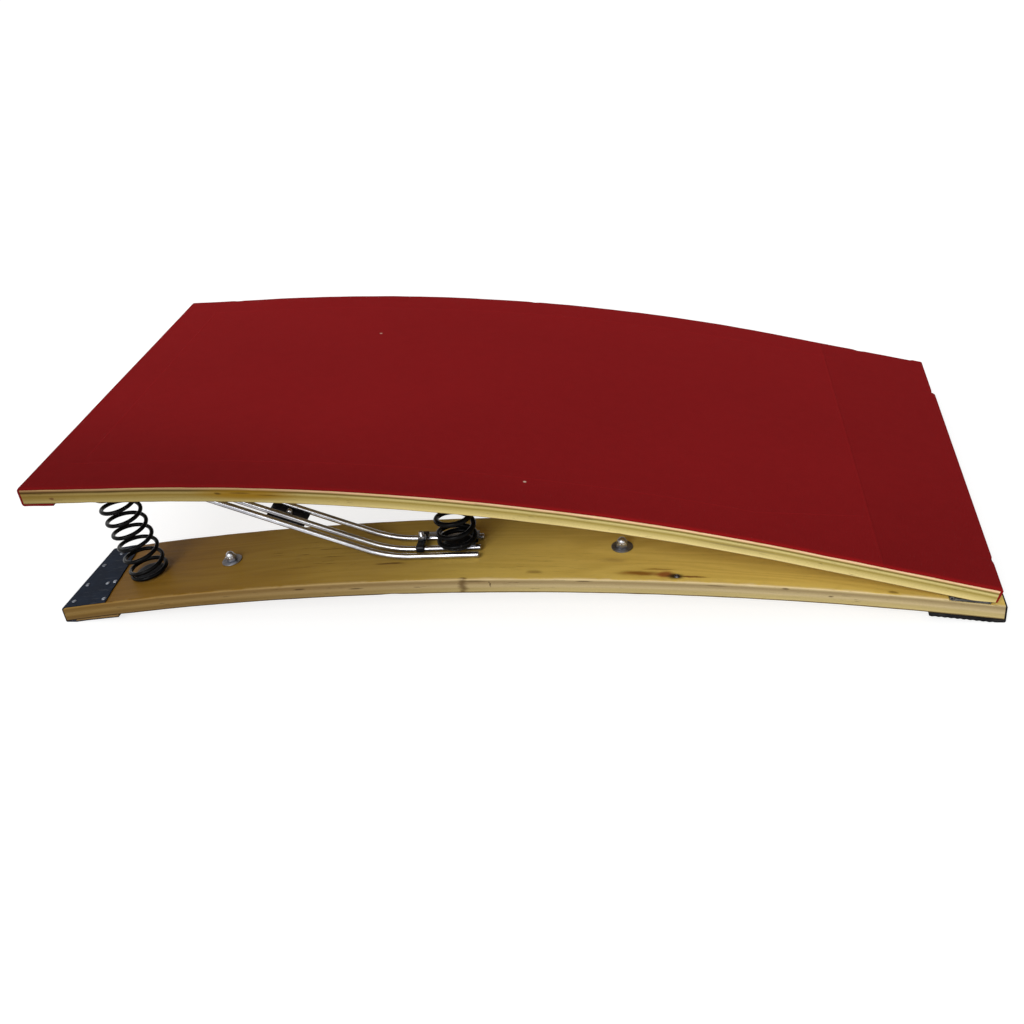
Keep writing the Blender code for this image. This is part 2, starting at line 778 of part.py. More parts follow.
def make_mid_seat(label, side, finishes):
    """Plate on two rods under the middle spring, with a tongue over the inner one to the clamp."""
    rear, slope = rod_rear_line()
    half = MID_SEAT_LENGTH / 2
    clamp = (CLAMP_X - rear.x) / math.cos(slope) + CLAMP_WIDTH / 2 + GAP
    tongue_end = clamp - mid_seat_reach()
    outer = ROD_OFFSETS["middle"] + ROD_RADIUS + SEAT_OVERHANG - SPRING_OFFSET
    inner = ROD_OFFSETS["inner"] - ROD_RADIUS - SEAT_OVERHANG - SPRING_OFFSET
    step = inner + TONGUE_WIDTH
    outline = [(half, inner), (half, outer), (-half, outer)]
    outline += [(-half, step), (tongue_end, step), (tongue_end, inner)]
    outline = [(x, side * y) for x, y in outline]
    if side < 0:
        outline.reverse()
    place = mid_seat_place(side)
    name = "mid_spring_seat_" + label
    plate = add_object(name, prism(outline, 0.0, SEAT_THICKNESS), finishes["zinc"], place)
    drill(name, plate, ANCHOR_SHANK_RADIUS + GAP, place, 4 * SEAT_THICKNESS)


def front_seat_centre():
    """Centre of the front spring's upper seat, on the spring's leaning axis."""
    height = rod_front_point().y - ROD_RADIUS - GAP - SEAT_THICKNESS
    rise = height - runner_top(FRONT_SPRING_X)
    return Vector((FRONT_SPRING_X - rise * math.tan(runner_slope(FRONT_SPRING_X)), height))


def make_front_seat(label, side, finishes):
    """Plate under the rods' front ends, which the front spring bears up against."""
    centre = front_seat_centre()
    half = FRONT_SEAT_SIZE / 2
    outline = [(half, -half), (half, half), (-half, half), (-half, -half)]
    place = Matrix.Translation((centre.x, spring_y(side), centre.y))
    name = "front_spring_seat_" + label
    plate = add_object(name, prism(outline, 0.0, SEAT_THICKNESS), finishes["zinc"], place)
    drill(name, plate, ANCHOR_SHANK_RADIUS + GAP, place, 4 * SEAT_THICKNESS)


def spring_points(seats, slopes, radius, wire, turns, closed_turns, lead, y):
    """Centre line of a coil spring between two seats, closed at both ends, its head flared."""
    normals = [Vector((-math.sin(slope), math.cos(slope))) for slope in slopes]
    low = seats[0] + normals[0] * (wire / 2 + GAP)
    high = seats[1] - normals[1] * (wire / 2 + GAP)
    height = (high - low).length
    closed = (wire + CLOSED_GAP) * closed_turns
    points = []
    count = round(turns * CURL_POINTS)
    for k in range(count + 1):
        turn = turns * k / count
        if turn < closed_turns:
            rise = closed * turn / closed_turns
        elif turn > turns - closed_turns:
            rise = height - closed * (turns - turn) / closed_turns
        else:
            share = (turn - closed_turns) / (turns - 2 * closed_turns)
            rise = closed + (height - 2 * closed) * share
        centre = low.lerp(high, rise / height)
        slope = slopes[0] + (slopes[1] - slopes[0]) * rise / height
        reach = radius + FLARE * max(0.0, 1 - (turns - turn) / FLARE_TURNS)
        across = reach * math.cos(2 * math.pi * (turn + lead))
        aside = reach * math.sin(2 * math.pi * (turn + lead))
        x = centre.x + across * math.cos(slope)
        z = centre.y + across * math.sin(slope)
        points.append(Vector((x, y + aside, z)))
    return points


def least_gap(points, wire):
    """Smallest distance between turns of a coil, less its wire."""
    skip = CURL_POINTS // 2
    pairs = ((a, b) for i, a in enumerate(points) for b in points[i + skip :])
    return min((a - b).length for a, b in pairs) - wire


def add_spring(name, points, wire, material):
    """Spring wire along its points, with its least gap to itself printed."""
    print(name, "least gap to itself, mm:", round(1000 * least_gap(points, wire), 2))
    add_tube(name, points, wire / 2, material, 1)


def anchor_radius(spring_radius, wire):
    return spring_radius - wire / 2 - ANCHOR_CLEARANCE


def make_front_spring(label, side, runner, finishes):
    """Tall spring square to the runner, with a screwed anchor in its foot and a riveted one in its head."""
    x = FRONT_SPRING_X
    y = spring_y(side)
    foot = Vector((x, runner_top(x)))
    head = front_seat_centre()
    turns = (FRONT_SPRING_TURNS, FRONT_SPRING_CLOSED, FRONT_SPRING_LEAD)
    shape = (FRONT_SPRING_RADIUS, FRONT_SPRING_WIRE, *turns)
    points = spring_points((foot, head), (runner_slope(x), 0.0), *shape, y)
    add_spring("front_spring_" + label, points, FRONT_SPRING_WIRE, finishes["spring"])
    size = anchor_radius(FRONT_SPRING_RADIUS, FRONT_SPRING_WIRE)
    place = square_to_runner(x, y)
    profile = headed(size, ANCHOR_HEIGHT, ANCHOR_SHANK_RADIUS, GAP, -ANCHOR_DEPTH)
    add_turned("front_spring_foot_anchor_" + label, profile, ROUND_SIDES, finishes["dark_steel"], place)
    drill("foot_anchor_hole_" + label, runner, ANCHOR_SHANK_RADIUS + GAP, place, 2 * (ANCHOR_DEPTH + GAP))
    place = Matrix.Translation((head.x, y, head.y))
    profile = headed(size, ANCHOR_HEIGHT, ANCHOR_SHANK_RADIUS, -GAP, SEAT_THICKNESS)
    add_turned("front_spring_head_anchor_" + label, profile, ROUND_SIDES, finishes["dark_steel"], place)


def make_mid_spring(label, side, finishes):
    """Heavier spring between the plate on the rods and the deck, with an anchor riveted in its foot."""
    y = spring_y(side)
    _, slope = rod_rear_line()
    foot = on_rods(mid_seat_reach(), ROD_RADIUS + GAP + SEAT_THICKNESS)
    head = Vector((foot.x, deck_under(foot.x)))
    turns = (MID_SPRING_TURNS, MID_SPRING_CLOSED, MID_SPRING_LEAD)
    shape = (MID_SPRING_RADIUS, MID_SPRING_WIRE, *turns)
    points = spring_points((foot, head), (slope, deck_slope_at(foot.x)), *shape, y)
    add_spring("mid_spring_" + label, points, MID_SPRING_WIRE, finishes["spring"])
    size = anchor_radius(MID_SPRING_RADIUS, MID_SPRING_WIRE)
    place = mid_seat_place(side, SEAT_THICKNESS)
    profile = headed(size, ANCHOR_HEIGHT, ANCHOR_SHANK_RADIUS, GAP, -SEAT_THICKNESS)
    add_turned("mid_spring_anchor_" + label, profile, ROUND_SIDES, finishes["dark_steel"], place)


def clamp_section():
    """Section of the saddle clamp across the rods: a plate with a cheek down each side."""
    spread = (ROD_OFFSETS["middle"] - ROD_OFFSETS["inner"]) / 2
    inner = spread + ROD_RADIUS + GAP
    outer = inner + CLAMP_THICKNESS
    under = ROD_RADIUS + GAP
    foot = under - CLAMP_CHEEK
    top = under + CLAMP_THICKNESS
    corner = CLAMP_THICKNESS / 2
    right = [(outer, foot), (outer, top - corner), (outer - corner, top)]
    left = [(-y, z) for y, z in reversed(right)]
    return [(inner, under), (inner, foot), *right, *left, (-inner, foot), (-inner, under)]


def make_clamp(label, side, runner, finishes):
    """Saddle clamp over two rods, with its bolt up through the runner and a nut."""
    rear, slope = rod_rear_line()
    along = (CLAMP_X - rear.x) / math.cos(slope)
    point = on_rods(along, 0.0)
    place = tilted(point.x, rod_pair_y(side), point.y, slope)
    lay = Matrix(((0, 0, 1, 0), (1, 0, 0, 0), (0, 1, 0, 0), (0, 0, 0, 1)))
    half = CLAMP_WIDTH / 2
    name = "rod_clamp_" + label
    clamp = add_object(name, prism(clamp_section(), -half, half), finishes["dark_steel"], place @ lay)
    drill(name, clamp, M6_RADIUS + GAP, place, 4 * ROD_RADIUS)
    top = ROD_RADIUS + GAP + CLAMP_THICKNESS
    nut_foot = top + GAP
    nut_top = nut_foot + M6_NUT_HEIGHT
    nut = prism(hexagon(M6_NUT_ACROSS_FLATS), nut_foot, nut_top)
    nut = add_object("clamp_nut_" + label, nut, finishes["rod"], place)
    drill("clamp_nut_" + label, nut, M6_RADIUS + GAP, place, 4 * nut_top)
    bearing = -ROD_RADIUS - 2 * GAP - RUNNER_THICKNESS
    profile = headed(M6_HEAD_RADIUS, M6_HEAD_HEIGHT, M6_RADIUS, bearing, nut_top + M6_TAIL)
    add_turned("clamp_bolt_" + label, profile, SMALL_SIDES, finishes["rod"], place)
    drill("clamp_hole_" + label, runner, M6_RADIUS + GAP, place, 2 * (RUNNER_THICKNESS + 4 * ROD_RADIUS))


def make_tie(label, side, finishes):
    """Cross tie under the slope of two rods, with a screw down through it between them."""
    _, high, low, _ = rod_corners()
    slope = math.atan2(low.y - high.y, low.x - high.x)
    share = (TIE_X - high.x) / (low.x - high.x)
    point = high.lerp(low, share)
    place = tilted(point.x, rod_pair_y(side), point.y, slope)
    half = TIE_WIDTH / 2
    span = (ROD_OFFSETS["middle"] - ROD_OFFSETS["inner"]) / 2 + ROD_RADIUS + TIE_OVERHANG
    outline = [(half, -span), (half, span), (-half, span), (-half, -span)]
    top = -ROD_RADIUS - GAP
    name = "rod_tie_" + label
    tie = add_object(name, prism(outline, top - TIE_THICKNESS, top), finishes["dark_steel"], place)
    drill(name, tie, M6_RADIUS + GAP, place, 4 * ROD_RADIUS)
    tip = top - TIE_THICKNESS - TIE_SCREW_TAIL
    profile = headed(TIE_SCREW_HEAD_RADIUS, TIE_SCREW_HEAD_HEIGHT, M6_RADIUS, top + GAP, tip)
    add_turned("rod_tie_screw_" + label, profile, SMALL_SIDES, finishes["rod"], place)


def make_dome_bolt(which, x, label, side, runner, finishes):
    """Bolt up through the runner with a washer and a dome nut."""
    place = square_to_runner(x, runner_y(side))
    name = f"{which}_bolt_{label}"
    hole = M8_RADIUS + GAP
    washer_top = GAP + WASHER_THICKNESS
    nut_foot = washer_top + GAP
    nut_top = nut_foot + M8_NUT_HEIGHT
    drill(name + "_hole", runner, hole, place, 4 * RUNNER_THICKNESS)
    profile = washer_profile(WASHER_RADIUS, hole, GAP, washer_top)
    add_turned(f"{which}_washer_{label}", profile, ROUND_SIDES, finishes["zinc"], place)
    nut = prism(hexagon(M8_NUT_ACROSS_FLATS), nut_foot, nut_top)
    nut = add_object(f"{which}_dome_nut_{label}", nut, finishes["rod"], place)
    steps = 4
    dome = [(0, nut_top - M8_NUT_HEIGHT / 2), (M8_DOME_RADIUS, nut_top - M8_NUT_HEIGHT / 2)]
    for k in range(steps):
        angle = math.pi / 2 * k / steps
        height = nut_top + M8_DOME_RADIUS * math.sin(angle)
        dome.append((M8_DOME_RADIUS * math.cos(angle), height))
    dome.append((0, nut_top + M8_DOME_RADIUS))
    join(nut, add_turned(name + "_dome", dome, SMALL_SIDES, finishes["rod"], place))
    drill(name + "_bore", nut, hole, place, 2 * (nut_foot + M8_BORE_DEPTH))
    tip = nut_foot + M8_BORE_DEPTH - 2 * GAP
    profile = headed(M8_HEAD_RADIUS, M8_HEAD_HEIGHT, M8_RADIUS, -RUNNER_THICKNESS - GAP, tip)
    add_turned(name, profile, SMALL_SIDES, finishes["zinc"], place)


def make_side(label, side, finishes):
    """Everything that stands on one runner."""
    runner = make_runner(label, side, finishes)
    make_packing(label, side, finishes)
    make_cap(label, side, finishes)
    make_rear_pad(label, side, finishes)
    make_hinge(label, side, finishes)
    make_rods(label, side, finishes)
    make_mid_seat(label, side, finishes)
    make_front_seat(label, side, finishes)
    make_front_spring(label, side, runner, finishes)
    make_mid_spring(label, side, finishes)
    make_clamp(label, side, runner, finishes)
    make_tie(label, side, finishes)
    for which, x in DOME_BOLT_X.items():
        make_dome_bolt(which, x, label, side, runner, finishes)


remove_everything()
all_finishes = make_finishes()
make_deck(all_finishes)
make_carpet(all_finishes)
for side_label, side_sign in SIDES.items():
    make_side(side_label, side_sign, all_finishes)
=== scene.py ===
import math
from functools import partial

import bmesh
import bpy
from mathutils import Matrix, Vector, noise


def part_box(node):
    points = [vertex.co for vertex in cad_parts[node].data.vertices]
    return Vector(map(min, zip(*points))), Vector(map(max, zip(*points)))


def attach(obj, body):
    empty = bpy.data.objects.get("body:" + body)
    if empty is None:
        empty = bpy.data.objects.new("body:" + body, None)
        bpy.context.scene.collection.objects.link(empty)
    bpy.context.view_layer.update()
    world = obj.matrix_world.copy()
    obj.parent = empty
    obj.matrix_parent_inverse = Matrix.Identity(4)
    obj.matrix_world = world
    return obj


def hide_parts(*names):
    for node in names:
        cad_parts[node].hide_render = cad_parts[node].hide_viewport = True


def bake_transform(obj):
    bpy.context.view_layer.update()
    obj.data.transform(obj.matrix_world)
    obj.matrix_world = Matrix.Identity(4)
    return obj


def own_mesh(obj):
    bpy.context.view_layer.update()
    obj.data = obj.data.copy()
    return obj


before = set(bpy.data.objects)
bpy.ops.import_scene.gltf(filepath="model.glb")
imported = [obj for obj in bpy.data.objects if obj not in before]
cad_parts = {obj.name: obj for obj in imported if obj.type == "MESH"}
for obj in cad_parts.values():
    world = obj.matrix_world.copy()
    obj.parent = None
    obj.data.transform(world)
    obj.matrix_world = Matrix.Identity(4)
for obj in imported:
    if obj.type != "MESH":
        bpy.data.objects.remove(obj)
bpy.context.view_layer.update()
sides = {"left": -1, "right": 1}

# Runners. Two arched boards of seven-ply beech, pressed to their curve, varnished to a honey colour
# and eased along edges that use has bruised and chipped. Their ends are sawn a little askew, with a
# rounded upper corner in front, and each is let in at the rear for a hinge leaf.
runner_length = 1.195
runner_end = runner_length / 2
runner_width = 0.140
runner_thickness = 0.021
runner_plies = 7
runner_middle = 0.230
runner_side = runner_middle + runner_width / 2
arch_rise = 0.0435
arch_crown = 0.0085
arch_rear_lift = 0.004
arch_radius = (runner_length**2 / 4 + arch_rise**2) / (2 * arch_rise)
arch_centre = arch_rear_lift - math.sqrt(arch_radius**2 - (runner_end - arch_crown) ** 2)
front_saw = {"left": 0.010, "right": 0.004}
rear_saw = {"left": 0.0, "right": 0.007}
saw_reach = 0.090
hinge_x = 0.5375
recess_edge = hinge_x - 0.0032
recess_depth = 0.0018
contact_gap = 0.0003


class Wire:
    """A node's socket that takes part in arithmetic."""

    def __init__(self, graph, socket):
        self.graph = graph
        self.socket = socket

    def __add__(self, other):
        return self.graph.maths("ADD", self, other)

    def __sub__(self, other):
        return self.graph.maths("SUBTRACT", self, other)

    def __mul__(self, other):
        return self.graph.maths("MULTIPLY", self, other)

    def __truediv__(self, other):
        return self.graph.maths("DIVIDE", self, other)

    def __radd__(self, other):
        return self.graph.maths("ADD", other, self)

    def __rsub__(self, other):
        return self.graph.maths("SUBTRACT", other, self)

    def __rmul__(self, other):
        return self.graph.maths("MULTIPLY", other, self)


class Graph:
    """The nodes of a material or of a geometry tree."""

    def __init__(self, tree):
        self.tree = tree

    def node(self, kind, settings=None, sockets=None, output=0):
        """Adds a node: its settings first, then the values or wires of its sockets."""
        made = self.tree.nodes.new(kind)
        for name, value in (settings or {}).items():
            if name == "stops":
                self.set_stops(made.color_ramp, value)
            else:
                setattr(made, name, value)
        for name, value in (sockets or {}).items():
            self.feed(self.find(made.inputs, name), value)
        return Wire(self, self.find(made.outputs, output))

    def set_stops(self, ramp, stops):
        """Places a ramp's colours at their shares of its length."""
        while len(ramp.elements) < len(stops):
            ramp.elements.new(1.0)
        for element, (share, colour) in zip(ramp.elements, stops):
            element.position = share
            element.color = colour

    def find(self, sockets, name):
        """The socket in use with a name, or at a place in the list."""
        shown = [socket for socket in sockets if socket.enabled]
        if isinstance(name, int):
            return shown[name]
        return next(socket for socket in shown if socket.name == name)

    def feed(self, socket, value):
        """Links a wire to a socket, or sets its value."""
        if isinstance(value, Wire):
            self.tree.links.new(value.socket, socket)
        elif socket.type == "VECTOR":
            socket.default_value = value[:3]
        else:
            socket.default_value = value

    def maths(self, operation, *values):
        """A Math node on values."""
        return self.node("ShaderNodeMath", {"operation": operation}, dict(enumerate(values)))

    def vectors(self, operation, *values):
        """A Vector Math node on vectors."""
        return self.node("ShaderNodeVectorMath", {"operation": operation}, dict(enumerate(values)))

    def split(self, vector):
        """The three numbers of a vector."""
        made = self.tree.nodes.new("ShaderNodeSeparateXYZ")
        self.feed(made.inputs[0], vector)
        return [Wire(self, socket) for socket in made.outputs]

    def together(self, x, y, z):
        """A vector made of three numbers."""
        return self.node("ShaderNodeCombineXYZ", sockets={"X": x, "Y": y, "Z": z})

    def step(self, value, start, end):
        """Rises smoothly from 0 at start to 1 at end."""
        settings = {"interpolation_type": "SMOOTHSTEP"}
        sockets = {"Value": value, "From Min": start, "From Max": end}
        return self.node("ShaderNodeMapRange", settings, sockets)


class Finish(Graph):
    """A material: its shader and the nodes that paint it."""

    def __init__(self, name):
        self.material = bpy.data.materials.new(name)
        self.material.use_nodes = True
        super().__init__(self.material.node_tree)
        self.shader = self.tree.nodes["Principled BSDF"]

    def place(self):
        """Where a point lies, in metres."""
        return self.node("ShaderNodeTexCoord", output="Object")

    def value(self, name, output="Vector"):
        """An attribute of the mesh."""
        return self.node("ShaderNodeAttribute", {"attribute_name": name}, output=output)

    def grain(self, point, cells, detail=3.0, roughness=0.5, output="Fac"):
        """Noise with a number of cells to the metre, the same along all three axes or one for each."""
        scaled = self.vectors("MULTIPLY", point, cells if isinstance(cells, tuple) else (cells,) * 3)
        sockets = {"Vector": scaled, "Scale": 1.0, "Detail": detail, "Roughness": roughness}
        return self.node("ShaderNodeTexNoise", sockets=sockets, output=output)

    def mix(self, share, first, second):
        """A colour between two."""
        return self.node("ShaderNodeMix", {"data_type": "RGBA"}, {"Factor": share, "A": first, "B": second})

    def shade(self, colour, share):
        """A colour made darker or lighter by a factor."""
        return self.node("ShaderNodeVectorMath", {"operation": "SCALE"}, {0: colour, 1: share})

    def layers(self, share, stops):
        """The colour at a share of the depth, from (share, red, green, blue) stops."""
        colours = [(place, tint(*colour)) for place, *colour in stops]
        return self.node("ShaderNodeValToRGB", {"stops": colours}, {"Fac": share}, "Color")

    def blot(self, point, middle, size, soft=0.75):
        """An oval mark, 1 inside and fading to 0 at its size."""
        shift = self.vectors("SUBTRACT", point, middle)
        scaled = self.vectors("DIVIDE", shift, size)
        return self.step(self.vectors("LENGTH", scaled), 1.0, 1.0 - soft)

    def coat(self, sockets):
        """Gives the shader its sockets."""
        for name, value in sockets.items():
            self.feed(self.shader.inputs[name], value)

    def wear(self, relief, height, sockets):
        """Gives the shader its sockets, and a bump of a relief in metres."""
        self.coat(sockets)
        bump = self.node("ShaderNodeBump", sockets={"Strength": 1.0, "Distance": relief, "Height": height})
        self.feed(self.shader.inputs["Normal"], bump)
        return self.material


def tint(red, green, blue):
    """A colour from its screen values of 0 to 255."""
    channels = [channel / 255 for channel in (red, green, blue)]
    linear = [c / 12.92 if c <= 0.04045 else ((c + 0.055) / 1.055) ** 2.4 for c in channels]
    return (*linear, 1.0)


def wander(*place):
    """Smooth noise from -1 to 1 at a place given by up to three numbers."""
    return noise.noise(Vector((*place, 0.5, 0.5, 0.5)[:3]))


def on_arch(x, height):
    """Height of the arc that lies a distance above a runner's underside."""
    radius = arch_radius + height
    return arch_centre + math.sqrt(radius * radius - (x - arch_crown) ** 2)


def arch_slope(x):
    """Slope of a runner's upper face, positive where it rises with x."""
    return -math.asin((x - arch_crown) / (arch_radius + runner_thickness))


def sawn(x, y, side):
    """x of a point near a runner's ends: in front the saw took more off the inner side, and one
    runner came out shorter at the rear."""
    front = max(0.0, 1 - (x + runner_end) / saw_reach)
    rear = max(0.0, 1 - (runner_end - x) / saw_reach)
    inward = runner_side - abs(y)
    return x + front_saw[side] * front * inward / runner_width - rear_saw[side] * rear


def ease_width(along, corner, easing, chips):
    """How far an edge is worn back at a place, with its chips."""
    long_wear = 0.55 * wander(along * 23, corner * 7.3)
    short_wear = 0.3 * wander(along * 90, corner * 3.1)
    least_wear = 0.4
    worn = easing * (1.0 + long_wear + short_wear)
    for middle, which, length, depth in chips:
        if which == corner:
            worn += depth * math.exp(-(((along - middle) / length) ** 2))
    return max(worn, easing * least_wear)


def board_outline(along, width, thickness, plies, easing, chips):
    """Section of a board as (across, depth, wear) points: rounded corners, flat faces and sides
    on which every second ply stands back a little."""
    half = width / 2
    pitch = thickness / plies
    face_steps = 16
    ply_setback = 0.00014
    saw_roughness = 0.00012
    arcs = []
    for corner, (way, low) in enumerate(((-1, 0), (1, 0), (1, 1), (-1, 1))):
        worn = ease_width(along, corner, easing, chips)
        across = way * (half - worn)
        depth = thickness - worn if low else worn
        arc = []
        for turn in (0, 30, 60, 90):
            angle = math.radians(180 + 90 * corner + turn)
            arc.append((across + worn * math.cos(angle), depth + worn * math.sin(angle), 1.0))
        arcs.append(arc)
    outline = []
    for corner, arc in enumerate(arcs):
        outline += arc
        start = arc[-1]
        end = arcs[(corner + 1) % 4][0]
        on_face = corner in (0, 2)
        steps = face_steps if on_face else 2 * plies
        shares = [0.02, *[k / steps for k in range(1, steps)], 0.98]
        for share in shares:
            across = start[0] + (end[0] - start[0]) * share
            depth = start[1] + (end[1] - start[1]) * share
            if not on_face:
                back = ply_setback * (int(depth / pitch) % 2)
                back += saw_roughness * (1 + wander(along * 60, depth * 900, across * 9))
                across -= math.copysign(back, across)
            outline.append((across, depth, 0.0))
    return outline


def join_rings(mesh, rings):
    """Faces between each ring of points and the next."""
    for first, second in zip(rings, rings[1:]):
        for k, start in enumerate(first):
            n = (k + 1) % len(first)
            mesh.faces.new((start, first[n], second[n], second[k]))


def board(name, material, stations, lay, width, thickness, plies, easing, chips=()):
    """A plywood board through its stations. lay takes (along, across, depth) to a place, and the
    three are kept on the mesh for the grain."""
    mesh = bmesh.new()
    grain = mesh.verts.layers.float_vector.new("grain")
    wear = mesh.verts.layers.float.new("wear")
    rings = []
    for along in stations:
        ring = []
        for across, depth, worn in board_outline(along, width, thickness, plies, easing, chips):
            vert = mesh.verts.new(lay(along, across, depth))
            vert[grain] = (along, vert.co.y, depth)
            vert[wear] = worn
            ring.append(vert)
        rings.append(ring)
    join_rings(mesh, rings)
    mesh.faces.new(rings[0])
    mesh.faces.new(rings[-1])
    return settle(name, mesh, material)


def settle(name, mesh, material, smooth_below=40):
    """Turns a bmesh into a piece with its faces outwards, smooth but for edges sharper than an angle."""
    bmesh.ops.remove_doubles(mesh, verts=mesh.verts, dist=1e-7)
    bmesh.ops.recalc_face_normals(mesh, faces=mesh.faces)
    data = bpy.data.meshes.new(name)
    mesh.to_mesh(data)
    mesh.free()
    data.materials.append(material)
    data.shade_smooth()
    data.set_sharp_from_angle(angle=math.radians(smooth_below))
    piece = bpy.data.objects.new(name, data)
    bpy.context.scene.collection.objects.link(piece)
    return piece


def stand_in(piece, body, slot, *nodes):
    """Makes a piece ride on a body in place of any CAD nodes; slot is not used."""
    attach(piece, body)
    if nodes:
        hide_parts(*nodes)


def plywood(name, thickness, front, rear, span, glue, marks=(), dashes=()):
    """Plywood solid all through: veneer faces, sides that show the plies, and upper edges rubbed pale
    with a painted highlight. front and rear are the colours at the two ends of a span of the length:
    the veneer's ground and figure, the rubbed and highlighted edge, and the side's layers from the upper face
    down."""
    wood = Finish(name)
    point = wood.value("grain")
    along, _, depth = wood.split(point)
    clouded = (wood.grain(point, (2.5, 6.0, 6.0), 2.0) - 0.5) * 0.5
    rearward = wood.step((along - span[0]) / (span[1] - span[0]) + clouded, 0.0, 1.0)
    slow = wood.grain(point, (1.6, 17.0, 17.0), 2.0)
    rings = wood.maths("SINE", slow * 85.0) * 0.5 + 0.5
    streaks = wood.grain(point, (7.0, 330.0, 330.0), 5.0, 0.62)
    pores = wood.step(wood.grain(point, (60.0, 1500.0, 1500.0), 2.0), 0.60, 0.70)
    tone = wood.grain(point, (3.0, 9.0, 9.0), 2.0)
    ground = wood.mix(rearward, front["veneer"], rear["veneer"])
    figured = wood.mix(rearward, front["figure"], rear["figure"])
    face = wood.mix(rings * 0.30 + streaks * 0.50, ground, figured)
    face = wood.shade(face, 0.86 + 0.28 * tone)
    face = wood.mix(pores * 0.22, face, glue)
    uneven_plies = (wood.grain(point, (14.0, 14.0, 0.0), 2.0) - 0.5) * 0.05
    share = depth / thickness + uneven_plies
    side = wood.mix(rearward, wood.layers(share, front["layers"]), wood.layers(share, rear["layers"]))
    fibres = wood.grain(point, (13.0, 500.0, 900.0), 4.0)
    ends = wood.grain(point, (420.0, 420.0, 900.0), 3.0)
    side = wood.shade(side, 0.70 + 0.34 * fibres + 0.26 * ends)
    torn = wood.step(wood.grain(point, (38.0, 38.0, 620.0), 3.0, 0.6), 0.66, 0.74)
    side = wood.mix(torn * 0.65, side, glue)
    from_face = wood.maths("MINIMUM", depth, thickness - depth)
    on_side = wood.step(from_face, 0.0001, 0.0006)
    colour = wood.mix(on_side, face, side)
    ragged_by = (0.014, 0.005, 0.0)
    ragged = wood.grain(point, (55.0, 120.0, 120.0), 4.0, output="Color")
    ragged = wood.vectors("ADD", point, wood.vectors("MULTIPLY", ragged, ragged_by))
    shifted = wood.vectors("SUBTRACT", ragged, tuple(reach / 2 for reach in ragged_by))
    drawn = wood.step(wood.grain(point, (24.0, 430.0, 430.0), 3.0, 0.55), 0.60, 0.67)
    for middle, size, dark, strength in dashes:
        colour = wood.mix(drawn * wood.blot(point, middle, size, 0.5) * strength, colour, dark)
    for middle, size, dark, strength in marks:
        colour = wood.mix(wood.blot(shifted, middle, size) * strength, colour, dark)
    # The upper edges are mixed towards the arris colour: partly rubbed wear, partly a painted highlight where
    # the rounded edge catches the light.
    rubbed = wood.value("wear", "Fac") * wood.step(wood.grain(point, 45.0, 3.0), 0.38, 0.55)
    rubbed = rubbed * wood.step(depth, 0.7 * thickness, 0.4 * thickness)
    colour = wood.mix(rubbed * 0.6, colour, wood.mix(rearward, front["arris"], rear["arris"]))
    rough = 0.40 + 0.22 * streaks + on_side * 0.16
    height = streaks * 0.5 + fibres * 0.3 + ends * 0.3 - pores * 0.4 - torn * on_side * 0.8
    return wood.wear(0.00018, height, {"Base Color": colour, "Roughness": rough, "Specular IOR Level": 0.10})


mark_through_face = 0.05
mark_through_side = 0.02


def face_mark(x, y, length, width, colour, strength):
    """An oval mark on a board's upper face: its middle, half sizes, colour and strength."""
    return (x, y, 0.0), (length, width, mark_through_face), tint(*colour), strength


def side_mark(x, depth, length, height, colour, strength):
    """An oval mark on a board's near side, a depth below the upper face."""
    near_side = -runner_side
    return (x, near_side, depth), (length, mark_through_side, height), tint(*colour), strength


runner_marks = [
    face_mark(0.178, -0.2855, 0.036, 0.0070, (124, 72, 14), 0.85),
    face_mark(0.240, -0.2890, 0.024, 0.0026, (104, 50, 16), 0.85),
    face_mark(0.200, -0.2760, 0.024, 0.0032, (124, 76, 24), 0.55),
    face_mark(0.208, -0.2865, 0.014, 0.0095, (140, 74, 34), 0.90),
    face_mark(0.2195, -0.2893, 0.014, 0.0080, (36, 20, 12), 0.95),
    face_mark(0.0475, -0.2857, 0.014, 0.005, (104, 76, 34), 0.50),
    face_mark(0.144, -0.2590, 0.022, 0.007, (150, 118, 66), 0.40),
    face_mark(-0.142, -0.2610, 0.026, 0.0030, (76, 46, 12), 0.80),
    face_mark(-0.041, -0.2985, 0.008, 0.0050, (78, 52, 20), 0.80),
    face_mark(0.472, -0.2950, 0.008, 0.0036, (110, 80, 34), 0.65),
    side_mark(-0.028, 0.0035, 0.026, 0.0022, (84, 62, 34), 0.60),
    side_mark(-0.008, 0.0080, 0.0014, 0.0060, (56, 38, 18), 0.80),
    side_mark(-0.180, 0.0098, 0.013, 0.0014, (70, 50, 26), 0.80),
    side_mark(-0.256, 0.0064, 0.008, 0.0016, (66, 46, 24), 0.80),
    side_mark(0.110, 0.0034, 0.014, 0.0014, (66, 48, 28), 0.70),
    side_mark(0.268, 0.0042, 0.016, 0.0012, (86, 66, 42), 0.60),
    side_mark(0.349, 0.0030, 0.006, 0.0018, (80, 58, 34), 0.75),
    side_mark(0.401, 0.0101, 0.005, 0.0016, (78, 56, 30), 0.75),
]
runner_dashes = [
    face_mark(-0.255, -0.225, 0.085, 0.034, (78, 54, 18), 0.85),
    face_mark(-0.235, -0.264, 0.070, 0.018, (84, 60, 20), 0.60),
    face_mark(0.060, -0.262, 0.110, 0.030, (112, 84, 36), 0.35),
    face_mark(-0.260, 0.236, 0.160, 0.050, (84, 60, 20), 0.50),
]
